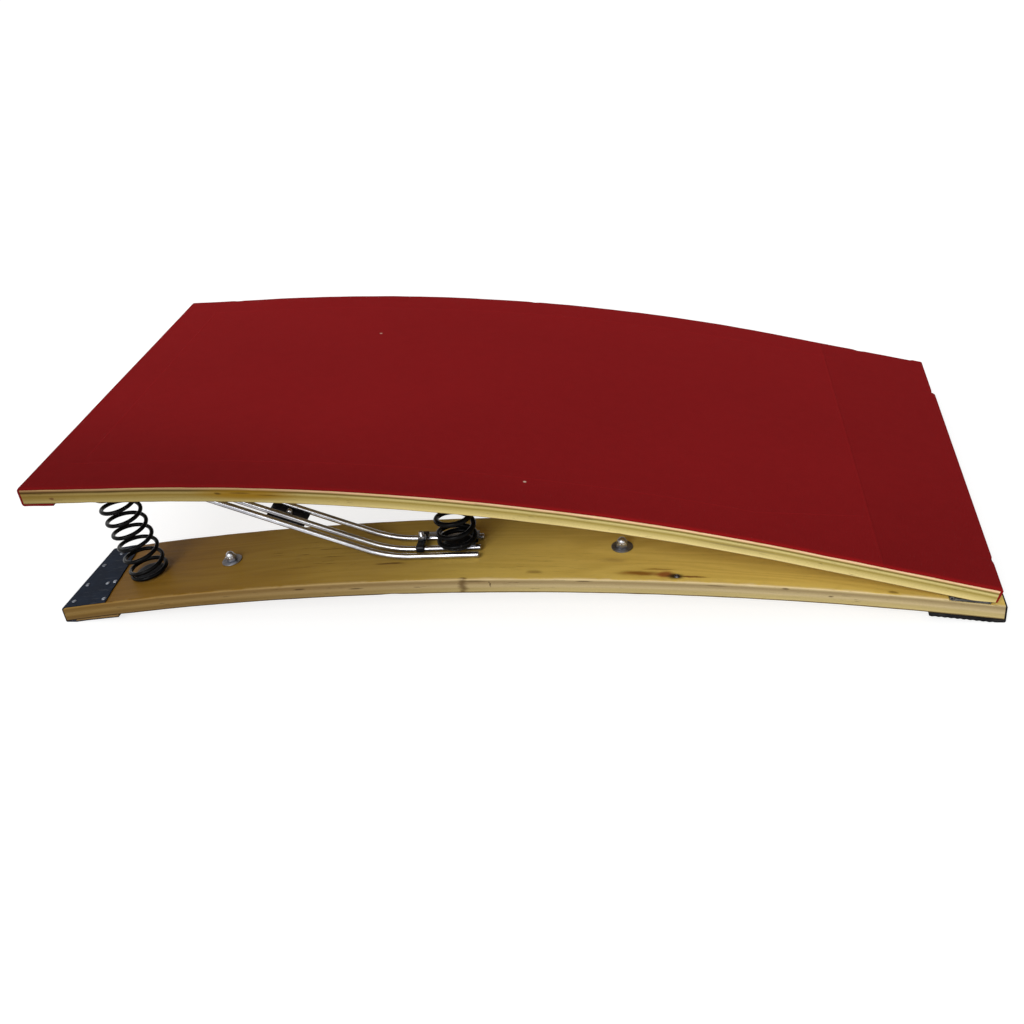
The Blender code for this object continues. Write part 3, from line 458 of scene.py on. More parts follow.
# The front colours are darkened with painted shade, as under the deck's front end. The rear colours are
# lightened with painted light that offsets the deck's shade over the rear. The rest of the change is the
# wood's own tone.
runner_front_shaded = {
    "veneer": tint(128, 90, 22),
    "figure": tint(106, 70, 14),
    "arris": tint(146, 114, 56),
    "layers": [
        (0.00, 140, 108, 54), (0.07, 138, 106, 52), (0.15, 116, 86, 40), (0.30, 118, 90, 44),
        (0.46, 136, 108, 60), (0.58, 130, 102, 54), (0.72, 110, 82, 38), (0.90, 112, 86, 46),
        (0.94, 60, 42, 20), (1.00, 52, 36, 16),
    ],
}
runner_rear_lit = {
    "veneer": tint(236, 206, 108),
    "figure": tint(206, 174, 80),
    "arris": tint(226, 204, 156),
    "layers": [
        (0.00, 220, 198, 150), (0.08, 216, 194, 146), (0.13, 184, 164, 118), (0.20, 158, 138, 98),
        (0.30, 164, 144, 104), (0.42, 188, 168, 124), (0.53, 198, 178, 134), (0.62, 190, 170, 120),
        (0.72, 192, 172, 116), (0.88, 196, 176, 120), (0.94, 96, 78, 48), (1.00, 82, 64, 38),
    ],
}
runner_fade = (-0.58, 0.34)
runner_glue = tint(62, 42, 20)
runner_ply = plywood(
    "runner_ply",
    runner_thickness,
    runner_front_shaded,
    runner_rear_lit,
    runner_fade,
    runner_glue,
    runner_marks,
    runner_dashes,
)
nose_radius = 0.0045


def on_runner(side, along, across, depth):
    """Place on a runner: along it, from its middle line, and below its upper face."""
    y = sides[side] * runner_middle + across
    slope = arch_slope(hinge_x)
    height = on_arch(along, runner_thickness - depth)
    into_nose = max(0.0, nose_radius - along - runner_end)
    height -= (nose_radius - math.sqrt(nose_radius**2 - into_nose**2)) * (1 - depth / runner_thickness)
    if along >= recess_edge:
        seat = on_arch(hinge_x, runner_thickness) + (along - hinge_x) * math.tan(slope)
        height = min(height, seat - recess_depth / math.cos(slope))
    return sawn(along, y, side), y, height


runner_chips = {
    "left": [(-0.010, 0, 0.008, 0.0012), (-0.135, 3, 0.010, 0.0016), (0.310, 0, 0.006, 0.0014)],
    "right": [(-0.330, 1, 0.009, 0.0015), (0.050, 2, 0.012, 0.0012), (0.420, 1, 0.007, 0.0016)],
}
runner_easing = 0.0011
runner_steps = 236
nose_steps = 8
nose_turns = [math.pi / 2 * k / nose_steps for k in range(1, nose_steps + 1)]
runner_stations = [-runner_end + runner_length * k / runner_steps for k in range(runner_steps + 1)]
runner_stations += [nose_radius * (1 - math.cos(turn)) - runner_end for turn in nose_turns]
runner_stations = sorted([*runner_stations, recess_edge - 0.00005, recess_edge])
runner_stock = (runner_width, runner_thickness, runner_plies, runner_easing)
for side in sides:
    lay = partial(on_runner, side)
    piece = board(f"runner_board_{side}", runner_ply, runner_stations, lay, *runner_stock, runner_chips[side])
    stand_in(piece, "base", "runner_ply", f"runner_{side}")

# Front packings. A thin wedge of raw plywood under the front end of each runner, glued on before
# the cap goes round it, fills the room between the runner's curve and the level sole.
packing_start = 0.014
packing_end = 0.078
packing_thin = 0.0012
packing_thick = 0.0024
packing_wood = {
    "veneer": tint(160, 130, 84),
    "figure": tint(134, 104, 62),
    "arris": tint(150, 120, 72),
    "layers": [
        (0.00, 142, 112, 66), (0.30, 142, 112, 66), (0.36, 84, 60, 30), (0.44, 124, 96, 54),
        (0.62, 124, 96, 54), (0.68, 80, 56, 28), (0.76, 138, 108, 64), (1.00, 132, 104, 60),
    ],
}
packing_fade = (-0.60, -0.50)
packing_glue = tint(58, 40, 22)
packing_ply = plywood("packing_wood", packing_thick, packing_wood, packing_wood, packing_fade, packing_glue)


def packing_depth(x):
    """Thickness of the wedge at x."""
    share = (x + runner_end - packing_start) / (packing_end - packing_start)
    return packing_thin + (packing_thick - packing_thin) * share


def on_packing(side, along, across, depth):
    """Place on a wedge: along it, from its middle line, and below its upper face."""
    y = sides[side] * runner_middle + across
    below = contact_gap + depth * packing_depth(along) / packing_thick
    return sawn(along, y, side), y, on_arch(along, -below)


packing_plies = 3
packing_easing = 0.0002
packing_steps = 20
packing_step = (packing_end - packing_start) / packing_steps
packing_stations = [packing_start - runner_end + packing_step * k for k in range(packing_steps + 1)]
packing_stock = (runner_width, packing_thick, packing_plies, packing_easing)
for side in sides:
    lay = partial(on_packing, side)
    piece = board(f"packing_strip_{side}", packing_ply, packing_stations, lay, *packing_stock)
    stand_in(piece, "base", "packing_wood", f"front_packing_{side}")

# Front caps. A strip of dark blue-grey rubber sheet is folded round the front end of each runner to
# grip the floor, and held by flat-headed nails driven in by eye. Its rear edge is cut askew.
cap_thickness = 0.0012
cap_top_length = 0.0665
cap_askew = 0.013


def rounded(line, radius, sharp=(), wide=None):
    """A line of (x, z) points with an arc at each clear corner but those left sharp. wide holds the
    radius of each corner that has its own."""
    least_bend = math.radians(75)
    steps = 6
    made = [line[0]]
    for index, (before, corner, after) in enumerate(zip(line, line[1:], line[2:]), 1):
        reach = (wide or {}).get(index, radius)
        first = (before - corner).normalized()
        second = (after - corner).normalized()
        half = first.angle(second) / 2
        if index in sharp or half > least_bend:
            made.append(corner)
            continue
        centre = corner + (first + second).normalized() * (reach / math.sin(half))
        start = corner + first * (reach / math.tan(half)) - centre
        end = corner + second * (reach / math.tan(half)) - centre
        swing = math.atan2(start.x * end.y - start.y * end.x, start.dot(end))
        for k in range(steps + 1):
            turn = swing * k / steps
            made.append(centre + start * math.cos(turn) + Vector((-start.y, start.x)) * math.sin(turn))
    made.append(line[-1])
    return made


def refined(lines, spacing):
    """Lines with as many points each, cut up alike so that the first has points this close."""
    made = [[] for _ in lines]
    for index in range(len(lines[0]) - 1):
        span = (lines[0][index + 1] - lines[0][index]).length
        cuts = max(1, math.ceil(span / spacing))
        for line, out in zip(lines, made):
            out += [line[index].lerp(line[index + 1], k / cuts) for k in range(cuts)]
    for line, out in zip(lines, made):
        out.append(line[-1])
    return made


def skin(name, material, outer, inner, across, moved, rim=0.0):
    """A closed sheet between two bent lines of (x, z) points, drawn over a list of y values. moved
    takes a point's spot on the sheet, along it, across it and through it, and its place."""
    mesh = bmesh.new()
    grain = mesh.verts.layers.float_vector.new("grain")
    reach = [0.0]
    for near, far in zip(outer, outer[1:]):
        reach.append(reach[-1] + (far - near).length)
    layers = []
    for depth, line in ((0.0, outer), (1.0, inner)):
        rows = []
        for along, point in zip(reach, line):
            row = []
            for y in across:
                spot = (along, y, depth)
                vert = mesh.verts.new(moved(spot, Vector((point.x, y, point.y))))
                vert[grain] = spot
                row.append(vert)
            rows.append(row)
        layers.append(rows)
    upper, lower = layers
    columns = len(across)
    for rows in layers:
        for near, far in zip(rows, rows[1:]):
            for k in range(columns - 1):
                mesh.faces.new((near[k], near[k + 1], far[k + 1], far[k]))
    for k in range(columns - 1):
        for row in (0, -1):
            mesh.faces.new((upper[row][k], upper[row][k + 1], lower[row][k + 1], lower[row][k]))
    for row in range(len(outer) - 1):
        for k in (0, -1):
            mesh.faces.new((upper[row][k], upper[row + 1][k], lower[row + 1][k], lower[row][k]))
    piece = settle(name, mesh, material)
    if rim:
        bevel = piece.modifiers.new("rim", "BEVEL")
        bevel.width = rim
        bevel.segments = 2
        bevel.limit_method = "ANGLE"
        bevel.angle_limit = math.radians(60)
    return piece


def rubber(name, body, scuffed, dust):
    """Rubber sheet: fine moulded grain, scuffs and settled dust."""
    sheet = Finish(name)
    point = sheet.place()
    cloud = sheet.grain(point, 38.0, 4.0, 0.6)
    fine = sheet.grain(point, 900.0, 3.0, 0.6)
    scratches = sheet.step(sheet.grain(point, (30.0, 420.0, 120.0), 3.0), 0.62, 0.72)
    colour = sheet.mix(sheet.step(cloud, 0.35, 0.70), body, scuffed)
    colour = sheet.mix(scratches * 0.35, colour, dust)
    colour = sheet.shade(colour, 0.8 + 0.4 * fine)
    rough = 0.50 + 0.28 * cloud + 0.12 * fine
    height = fine * 0.6 + cloud * 0.6 - scratches * 0.5
    return sheet.wear(0.00012, height, {"Base Color": colour, "Roughness": rough, "Specular IOR Level": 0.08})


cap_rubber = rubber("cap_rubber", tint(16, 24, 38), tint(30, 38, 52), tint(92, 94, 100))


def cap_line(reach):
    """The cap's face that lies a reach off the runner and its packing, flat on the floor in front."""
    end = -runner_end
    rear = end + packing_end
    step = end + packing_start
    wedge = [rear + (step - rear) * k / 4 for k in range(5)]
    line = [Vector((x, on_arch(x, -contact_gap - packing_depth(x) - reach))) for x in wedge]
    line += [Vector((x, on_arch(x, -reach))) for x in (step - 0.0005, end + packing_start / 2, end)]
    if reach > contact_gap:
        line[4:] = [Vector((point.x, 0.0)) for point in line[4:]]
    line[-1].x = end - reach
    line.append(Vector((end - reach, on_arch(end, runner_thickness + reach))))
    over = [end + cap_top_length * k / 4 for k in range(1, 5)]
    line += [Vector((x, on_arch(x, runner_thickness + reach))) for x in over]
    return line


cap_fold = 0.0006
cap_step_corners = (4, 5)
cap_nose_corner = 8
cap_reach = contact_gap + cap_thickness


def cap_face(reach, fold):
    """One face of the cap, its folds rounded but for the two at the packing's front edge."""
    return rounded(cap_line(reach), fold, cap_step_corners, {cap_nose_corner: nose_radius + reach})


cap_faces = [cap_face(cap_reach, cap_fold + cap_thickness), cap_face(contact_gap, cap_fold)]
cap_spacing = 0.0025
cap_outer, cap_inner = refined(cap_faces, cap_spacing)


cap_over = 0.015
cap_held = 0.1
cap_ragged = 0.0012
cap_lift = 0.00030


def cap_moved(side, spot, point):
    """The strip's askew and ragged cut, and a sheet that is not quite flat between its nails."""
    depth = spot[2]
    way = sides[side]
    inward = runner_side - abs(point.y)
    x = point.x
    flap = (x + runner_end) / cap_top_length
    if point.z > cap_over and flap > cap_held:
        cut = cap_askew * inward / runner_width + cap_ragged * (1 + wander(point.y * 55, 3.7 * way))
        moved = x - cut * (flap - cap_held) / (1 - cap_held)
        lift = cap_lift * (1 + wander(x * 60, point.y * 45, 3.7 * way)) * flap
        point.z += on_arch(moved, runner_thickness) - on_arch(x, runner_thickness)
        point.z += lift if depth == 0.0 else lift * 0.4
        x = moved
    point.x = sawn(x, point.y, side)
    return point


cap_rim = 0.0004
cap_columns = 44


def over_runner(side, columns):
    """y values that divide a runner's width into columns."""
    low = sides[side] * runner_middle - runner_width / 2
    return [low + runner_width * k / columns for k in range(columns + 1)]


for side in sides:
    across = over_runner(side, cap_columns)
    moved = partial(cap_moved, side)
    piece = skin(f"cap_sheet_{side}", cap_rubber, cap_outer, cap_inner, across, moved, cap_rim)
    stand_in(piece, "base", "cap_rubber", f"front_cap_{side}")

# Cap nails. Seven flat-headed clout nails hold each cap, their plated heads dulled and a little
# crooked. The same tree sets them wherever the runner's face leans.
nail_spots = [(0.0125, 0.0115), (0.0120, 0.049), (0.0125, 0.095), (0.0280, 0.121)]
nail_spots += [(0.0465, 0.046), (0.0605, 0.0082), (0.0570, 0.048)]


class Growth(Graph):
    """A geometry tree with named inputs that ends in real geometry with a material."""

    kinds = {float: "NodeSocketFloat", int: "NodeSocketInt", tuple: "NodeSocketVector"}

    def __init__(self, name, inputs):
        super().__init__(bpy.data.node_groups.new(name, "GeometryNodeTree"))
        interface = self.tree.interface
        interface.new_socket("Geometry", in_out="INPUT", socket_type="NodeSocketGeometry")
        for label, value in inputs.items():
            made = interface.new_socket(label, in_out="INPUT", socket_type=self.kinds[type(value)])
            made.default_value = value
        interface.new_socket("Material", in_out="INPUT", socket_type="NodeSocketMaterial")
        interface.new_socket("Geometry", in_out="OUTPUT", socket_type="NodeSocketGeometry")
        self.source = self.tree.nodes.new("NodeGroupInput")

    def take(self, label):
        """An input of the tree."""
        return Wire(self, self.find(self.source.outputs, label))

    def close(self, geometry):
        """Makes instances real, shades them smooth and gives them the material."""
        real = self.node("GeometryNodeRealizeInstances", sockets={"Geometry": geometry})
        smooth = self.node("GeometryNodeSetShadeSmooth", sockets={"Geometry": real})
        sockets = {"Geometry": smooth, "Material": self.take("Material")}
        coated = self.node("GeometryNodeSetMaterial", sockets=sockets)
        target = self.tree.nodes.new("NodeGroupOutput")
        self.feed(target.inputs[0], coated)

    def jitter(self, reach):
        """A small random vector for each point, up to a reach either way along each axis."""
        least = tuple(-part for part in reach)
        sockets = {"Min": least, "Max": reach, "Seed": self.take("Seed")}
        return self.node("FunctionNodeRandomValue", {"data_type": "FLOAT_VECTOR"}, sockets)

    def scatter(self, shape, turn):
        """A shape set on every point and turned."""
        sockets = {"Points": self.take("Geometry"), "Instance": shape, "Rotation": turn}
        return self.node("GeometryNodeInstanceOnPoints", sockets=sockets)

    def marked(self, line, label, value):
        """A line whose points carry a number by name."""
        sockets = {"Geometry": line, "Name": label, "Value": value}
        return self.node("GeometryNodeStoreNamedAttribute", {"data_type": "FLOAT"}, sockets)

    def ring(self, radius, sides):
        """A circle to draw along a line."""
        sockets = {"Resolution": sides, "Radius": radius}
        return self.node("GeometryNodeCurvePrimitiveCircle", sockets=sockets)

    def swept(self, line, ring, scale=1.0):
        """A solid bar: a ring drawn along a line and closed at both ends."""
        sockets = {"Curve": line, "Profile Curve": ring, "Scale": scale, "Fill Caps": True}
        return self.node("GeometryNodeCurveToMesh", sockets=sockets)


def grown(name, growth, material, verts, edges=(), ways=None, values=None):
    """Runs a tree on points and edges, and returns what it makes as a plain mesh piece."""
    data = bpy.data.meshes.new(name)
    data.from_pydata(verts, edges, [])
    if ways:
        facing = data.attributes.new("facing", "FLOAT_VECTOR", "POINT")
        facing.data.foreach_set("vector", [number for way in ways for number in way])
    piece = bpy.data.objects.new(name, data)
    bpy.context.scene.collection.objects.link(piece)
    modifier = piece.modifiers.new(name, "NODES")
    modifier.node_group = growth.tree
    given = {"Material": material, **(values or {})}
    for item in growth.tree.interface.items_tree:
        if item.in_out == "INPUT" and item.name in given:
            modifier[item.identifier] = given[item.name]
    shown = piece.evaluated_get(bpy.context.evaluated_depsgraph_get())
    made = bpy.data.meshes.new_from_object(shown)
    piece.modifiers.clear()
    piece.data = made
    made.set_sharp_from_angle(angle=math.radians(40))
    return piece


rust_spread = (0.66, 0.78)


def metal(name, clean, dull, rust, rough, shine=1.0, scale=60.0):
    """Plated or bare steel: cloudy plating, fine scratches and specks of tarnish."""
    steel = Finish(name)
    point = steel.place()
    cloud = steel.grain(point, scale, 4.0, 0.6)
    fine = steel.grain(point, scale * 22, 2.0)
    scratches = steel.grain(point, (scale * 0.6, scale * 26, scale * 9), 3.0)
    spots = steel.step(steel.grain(point, scale * 5, 3.0), *rust_spread)
    colour = steel.mix(steel.step(cloud, 0.35, 0.68), clean, dull)
    colour = steel.mix(spots * 0.8, colour, rust)
    roughness = rough + 0.22 * cloud + 0.10 * scratches + spots * 0.25
    height = scratches * 0.4 + fine * 0.3 + cloud * 0.4 + spots * 0.3
    sockets = {"Base Color": colour, "Roughness": roughness, "Metallic": shine - spots * 0.6}
    return steel.wear(0.00004, height, sockets)


nail_steel = metal("nail_steel", tint(148, 152, 160), tint(92, 95, 102), tint(70, 58, 48), 0.34)
nailing = Growth("nail_heads", {"Head radius": 0.0033, "Head height": 0.0012, "Seed": 4})
nail_lean = 0.12
nail_lift = 0.0002
ball = {"Segments": 18, "Rings": 8, "Radius": 1.0}
ball = nailing.node("GeometryNodeMeshUVSphere", sockets=ball, output="Mesh")
head_radius = nailing.take("Head radius")
head_shape = nailing.together(head_radius, head_radius, nailing.take("Head height"))
head = nailing.node("GeometryNodeTransform", sockets={"Geometry": ball, "Scale": head_shape})
facing = nailing.node("GeometryNodeInputNamedAttribute", {"data_type": "FLOAT_VECTOR"}, {"Name": "facing"})
leaned = nailing.vectors("ADD", facing, nailing.jitter((nail_lean, nail_lean, 0.0)))
turn = nailing.node("FunctionNodeAlignRotationToVector", {"axis": "Z"}, {"Vector": leaned})
nailing.close(nailing.scatter(head, turn))


def arch_normal(x):
    """Direction square to a runner's upper face."""
    slope = arch_slope(x)
    return Vector((-math.sin(slope), 0.0, math.cos(slope)))


for side, way in sides.items():
    verts = []
    ways = []
    for along, inward in nail_spots:
        x = along - runner_end
        y = way * (runner_side - inward)
        normal = arch_normal(x)
        foot = Vector((sawn(x, y, side), y, on_arch(x, runner_thickness)))
        verts.append(foot + normal * (cap_reach + nail_lift))
        ways.append(normal)
    piece = grown(f"cap_nails_{side}", nailing, nail_steel, verts, ways=ways)
    stand_in(piece, "base", "bright_fastener")

# Rear pads. Black rubber under the rear end of each runner, turned up the sawn end. It is moulded
# ribbed underneath for grip and is worn flat where it meets the floor.
pad_length = 0.084
pad_thickness = 0.0055
pad_lip_thickness = 0.002
pad_lip_top = 0.023
pad_rubber = rubber("pad_rubber", tint(16, 16, 18), tint(32, 31, 33), tint(84, 80, 74))


def pad_line(depth, reach):
    """One face of the pad: a depth below the runner, never below the floor, and up its sawn end."""
    under = [runner_end - pad_length * k / 6 for k in range(6, -1, -1)]
    line = [Vector((x, max(on_arch(x, -depth), 0.0))) for x in under]
    line[-1].x = runner_end + reach
    line.append(Vector((runner_end + reach, pad_lip_top)))
    return line


pad_spacing = 0.0018
pad_inner_fold = 0.0006
pad_outer_fold = 0.0022
pad_inner = rounded(pad_line(contact_gap, contact_gap), pad_inner_fold)
pad_outer = pad_line(contact_gap + pad_thickness, contact_gap + pad_lip_thickness)
pad_outer, pad_inner = refined([rounded(pad_outer, pad_outer_fold), pad_inner], pad_spacing)
pad_rim = 0.0005
pad_columns = 28
rib_height = 0.0004
rib_pitch = 0.0072
rib_end = 0.590
lip_start = 0.012
lip_waviness = 0.0006
worn_flat = 0.0001


def pad_moved(side, spot, point):
    """Ribs across the underside, and an upper edge that is not cut quite straight."""
    along, _, depth = spot
    if depth == 0.0 and point.x < rib_end and worn_flat < point.z < lip_start:
        point.z += rib_height * (1 + math.cos(math.tau * along / rib_pitch))
    if point.z > lip_start:
        share = (point.z - lip_start) / (pad_lip_top - lip_start)
        point.z -= share * lip_waviness * (1 + wander(point.y * 30, 5.1 * sides[side]))
    point.x = sawn(point.x, point.y, side)
    return point


for side in sides:
    across = over_runner(side, pad_columns)
    moved = partial(pad_moved, side)
    piece = skin(f"pad_sheet_{side}", pad_rubber, pad_outer, pad_inner, across, moved, pad_rim)
    stand_in(piece, "base", "pad_rubber", f"rear_pad_{side}")

# Hinges. A strap hinge the width of the runner, its lower leaf let into the runner and its upper
# leaf under the deck. The leaves have dull zinc plating and the pin is plain dark steel.
zinc = metal("zinc_plate", tint(160, 163, 172), tint(116, 119, 128), tint(120, 108, 92), 0.26)
brown_rust = tint(70, 50, 38)
dull_zinc = metal("hinge_zinc", tint(112, 110, 106), tint(72, 70, 68), brown_rust, 0.40, 0.9)
pin_steel = metal("dark_steel", tint(52, 52, 56), tint(34, 34, 37), brown_rust, 0.34, 0.9)
hinge_finishes = {"hinge_leaf_lower": dull_zinc, "hinge_leaf_upper": dull_zinc, "hinge_pin": pin_steel}
for side in sides:
    for kind, material in hinge_finishes.items():
        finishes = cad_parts[f"{kind}_{side}"].data.materials
        finishes.clear()
        finishes.append(material)

# Through bolts. Two mushroom-headed bolts come up through each runner on its middle line, each with
# a broad washer and a plated dome nut that keeps bare feet off the thread.
bolt_places = {"front": -0.373, "rear": 0.152}
washer_radius = 0.0135
washer_thickness = 0.0016
nut_flats = 0.013
nut_height = 0.0065
dome_radius = 0.006
bolt_radius = 0.004
bolt_head_radius = 0.010
bolt_head_height = 0.0045
bright = metal("bright_fastener", tint(206, 208, 212), tint(166, 166, 170), tint(116, 100, 84), 0.14)


def square_to_runner(x, y):
    """Matrix of a place on a runner's upper face, its Z square to the face."""
    turned_to = Matrix.Rotation(-arch_slope(x), 4, "Y")
    return Matrix.Translation((x, y, on_arch(x, runner_thickness))) @ turned_to


def lathe(name, material, profile, place, flats=0.0, flats_top=0.0, sides_round=56):
    """A piece turned about its Z from (radius, z) points, cut to a hexagon of this size across its
    flats up to a height."""
    mesh = bmesh.new()
    rings = []
    for radius, z in profile:
        ring = []
        for k in range(sides_round):
            angle = math.tau * k / sides_round
            reach = radius
            if flats and z <= flats_top:
                sector = (angle + math.pi / 6) % (math.pi / 3) - math.pi / 6
                reach = min(radius, flats / 2 / math.cos(sector))
            ring.append(mesh.verts.new(place @ Vector((reach * math.cos(angle), reach * math.sin(angle), z))))
        rings.append(ring)
    bored = profile[0][0] > 0 and profile[-1][0] > 0
    join_rings(mesh, [*rings, rings[0]] if bored else rings)
    bmesh.ops.remove_doubles(mesh, verts=mesh.verts, dist=1e-6)
    bmesh.ops.dissolve_degenerate(mesh, edges=mesh.edges, dist=1e-7)
    return settle(name, mesh, material, 32)


def nut_profile(low, height, flats, bore):
    """Turned outline of a hexagon nut with both ends chamfered to its flats."""
    corner = flats / math.sqrt(3)
    eased = flats / 2 * 0.97
    drop = (corner - eased) * 0.5
    lower = [(bore, low), (eased, low), (corner, low + drop)]
    return [*lower, (corner, low + height - drop), (eased, low + height)]


def quarter(radius):
    """(across, up) points of a quarter round, from its widest to its top."""
    steps = 8
    turns = [math.pi / 2 * k / steps for k in range(1, steps + 1)]
    return [(radius * math.cos(turn), radius * math.sin(turn)) for turn in turns]


washer_top = contact_gap + washer_thickness
washer_edge = 0.0003
bolt_hole = bolt_radius + contact_gap
washer_rim = [
    (bolt_hole, contact_gap),
    (washer_radius - washer_edge, contact_gap),
    (washer_radius, contact_gap + washer_edge),
    (washer_radius, washer_top - washer_edge),
    (washer_radius - washer_edge, washer_top),
    (bolt_hole + washer_edge, washer_top),
    (bolt_hole, washer_top - washer_edge),
]
nut_foot = washer_top + contact_gap
nut_top = nut_foot + nut_height
dome_shape = nut_profile(nut_foot, nut_height, nut_flats, 0.0)
dome_shape += [(dome_radius + 0.0003, nut_top + 0.00002), (dome_radius, nut_top + 0.0002)]
dome_shape += [(across, nut_top + up) for across, up in quarter(dome_radius)]
bolt_seat = -runner_thickness - contact_gap
mushroom_squash = bolt_head_height / bolt_head_radius
mushroom = [(across, bolt_seat - up * mushroom_squash) for across, up in quarter(bolt_head_radius)]
bolt_shape = [*reversed(mushroom), (bolt_head_radius, bolt_seat), (bolt_radius, bolt_seat)]
bolt_shape += [(bolt_radius, nut_foot + 0.009), (0.0, nut_foot + 0.0094)]
for side, way in sides.items():
    for which, x in bolt_places.items():
        place = square_to_runner(x, way * runner_middle)
        piece = lathe(f"{which}_washer_ring_{side}", zinc, washer_rim, place)
        stand_in(piece, "base", "zinc_plate", f"{which}_washer_{side}")
        piece = lathe(f"{which}_dome_cap_{side}", bright, dome_shape, place, nut_flats, nut_top, 72)
        stand_in(piece, "base", "bright_fastener", f"{which}_dome_nut_{side}")
        piece = lathe(f"{which}_mushroom_bolt_{side}", zinc, bolt_shape, place)
        stand_in(piece, "base", "zinc_plate", f"{which}_bolt_{side}")

# Knot screw. A small round-headed wood screw, slotted and gone dark, is driven into the knot near
# the outer edge of the left runner, where the wood had lifted.
knot_screw_x = 0.2220
knot_screw_y = -0.2895
knot_head_radius = 0.0034
knot_head_height = 0.0022
knot_head_foot = 0.00005
knot_shape = [(0.0, -0.004), (0.0012, -0.0035), (0.0012, -0.0002), (knot_head_radius, knot_head_foot)]
knot_squash = knot_head_height / knot_head_radius
knot_shape += [(across, knot_head_foot + up * knot_squash) for across, up in quarter(knot_head_radius)]
knot_place = square_to_runner(knot_screw_x, knot_screw_y)
knot_rust = tint(60, 36, 22)
knot_steel = metal("knot_screw_steel", tint(120, 118, 122), tint(58, 52, 50), knot_rust, 0.26, 0.9, 400.0)
piece = lathe("knot_screw", knot_steel, knot_shape, knot_place, sides_round=40)
slot_mesh = bmesh.new()
bmesh.ops.create_cube(slot_mesh, size=1.0)
slot_width = 0.0009
slot_turn = Matrix.Rotation(0.7, 4, "Z")
slot_size = Matrix.Diagonal((2.4 * knot_head_radius, slot_width, knot_head_height, 1.0))
slot_place = knot_place @ Matrix.Translation((0.0, 0.0, knot_head_height * 1.15)) @ slot_turn
slot_mesh.transform(slot_place @ slot_size)
slot_cutter = settle("slot_cutter", slot_mesh, knot_steel)
slot_cut = piece.modifiers.new("slot", "BOOLEAN")
slot_cut.object = slot_cutter
slot_cut.solver = "EXACT"
shown_screw = piece.evaluated_get(bpy.context.evaluated_depsgraph_get())
slotted = bpy.data.meshes.new_from_object(shown_screw)
piece.modifiers.clear()
piece.data = slotted
bpy.data.objects.remove(slot_cutter)
stand_in(piece, "base", "dark_steel")

# Bow rods. Three round bars to a side, bent cold to one template: flat on the runner behind, up
# the slope, and level under the deck in front. They are bright drawn steel with lengthwise lines.
rod_radius = 0.004
rod_offsets = {"outer": 0.0235, "middle": 0.007, "inner": -0.018}
rod_rear_x = -0.0265
rod_rear_flat = 0.119
rod_front_x = -0.545
rod_front_flat = 0.124
rod_bend_radius = 0.150
rod_chamfer = 0.0012
deck_thickness = 0.020
deck_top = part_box("deck_board")[1].z
deck_front_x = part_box("deck_board")[0].x


def bow_y(way, offset):
    """A line along one side's bow, at a distance outboard of the runner's middle."""
    return way * (runner_middle + offset)


rod_slope = arch_slope(rod_rear_x - rod_rear_flat / 2)


def on_rods(along, above):
    """Point on the rods' rear stretch: along it from its middle, and square above its centre line."""
    x = rod_rear_x - rod_rear_flat / 2
    lift = contact_gap + rod_radius
    foot = Vector((x, on_arch(x, runner_thickness)))
    direction = Vector((math.cos(rod_slope), math.sin(rod_slope)))
    normal = Vector((-math.sin(rod_slope), math.cos(rod_slope)))
    return foot + normal * (lift + above) + direction * along


rod_bright = Finish("polished_rod")
length_along = rod_bright.value("along", "Fac")
turn_round = rod_bright.value("around", "Fac")
line_round = 0.0377
drawn = rod_bright.together(length_along, turn_round * line_round, 0.0)
lines = rod_bright.grain(drawn, (9.0, 3200.0, 1.0), 3.0)
cloud = rod_bright.grain(rod_bright.place(), (24.0, 60.0, 60.0), 4.0, 0.6)
flecks = rod_bright.step(rod_bright.grain(rod_bright.place(), (260.0, 420.0, 420.0), 3.0), 0.72, 0.82)
rod_colour = rod_bright.mix(rod_bright.step(cloud, 0.38, 0.66), tint(202, 203, 208), tint(160, 160, 166))
rod_colour = rod_bright.mix(flecks * 0.7, rod_colour, tint(98, 84, 72))
rod_rough = 0.12 + 0.16 * cloud + 0.12 * lines + flecks * 0.3
rod_sockets = {"Base Color": rod_colour, "Roughness": rod_rough, "Metallic": 1.0 - flecks * 0.5}
rod_bright.wear(0.00003, lines * 0.1 + cloud * 0.3 + flecks * 0.2, rod_sockets)

bend_sizes = {"Bend radius": rod_bend_radius, "Bend steps": 22}
bending = Growth("bent_rod", {**bend_sizes, "Rod radius": rod_radius, "Chamfer": rod_chamfer, "Sides": 36})
bend_radius, bend_steps, bar_radius, chamfer, bar_sides = (
    bending.take(label) for label in ("Bend radius", "Bend steps", "Rod radius", "Chamfer", "Sides")
)
wire_line = bending.node("GeometryNodeMeshToCurve", sockets={"Mesh": bending.take("Geometry")})
bend_sockets = {"Curve": wire_line, "Count": bend_steps, "Radius": bend_radius, "Limit Radius": True}
bent = bending.node("GeometryNodeFilletCurve", {"mode": "POLY"}, bend_sockets)
here = bending.node("GeometryNodeSplineParameter", output="Length")
share = bending.node("GeometryNodeSplineParameter", output="Factor")
bent = bending.marked(bent, "along", here)
ring = bending.marked(bending.ring(bar_radius, bar_sides), "around", share)
total = here / bending.maths("MAXIMUM", share, 0.000001)
from_end = bending.maths("MINIMUM", here, bending.maths("ABSOLUTE", total - here))
full = bending.maths("MINIMUM", from_end / chamfer, 1.0)
drawn_in = 1.0 - (1.0 - full) * (chamfer / bar_radius)
bending.close(bending.swept(bent, ring, drawn_in))

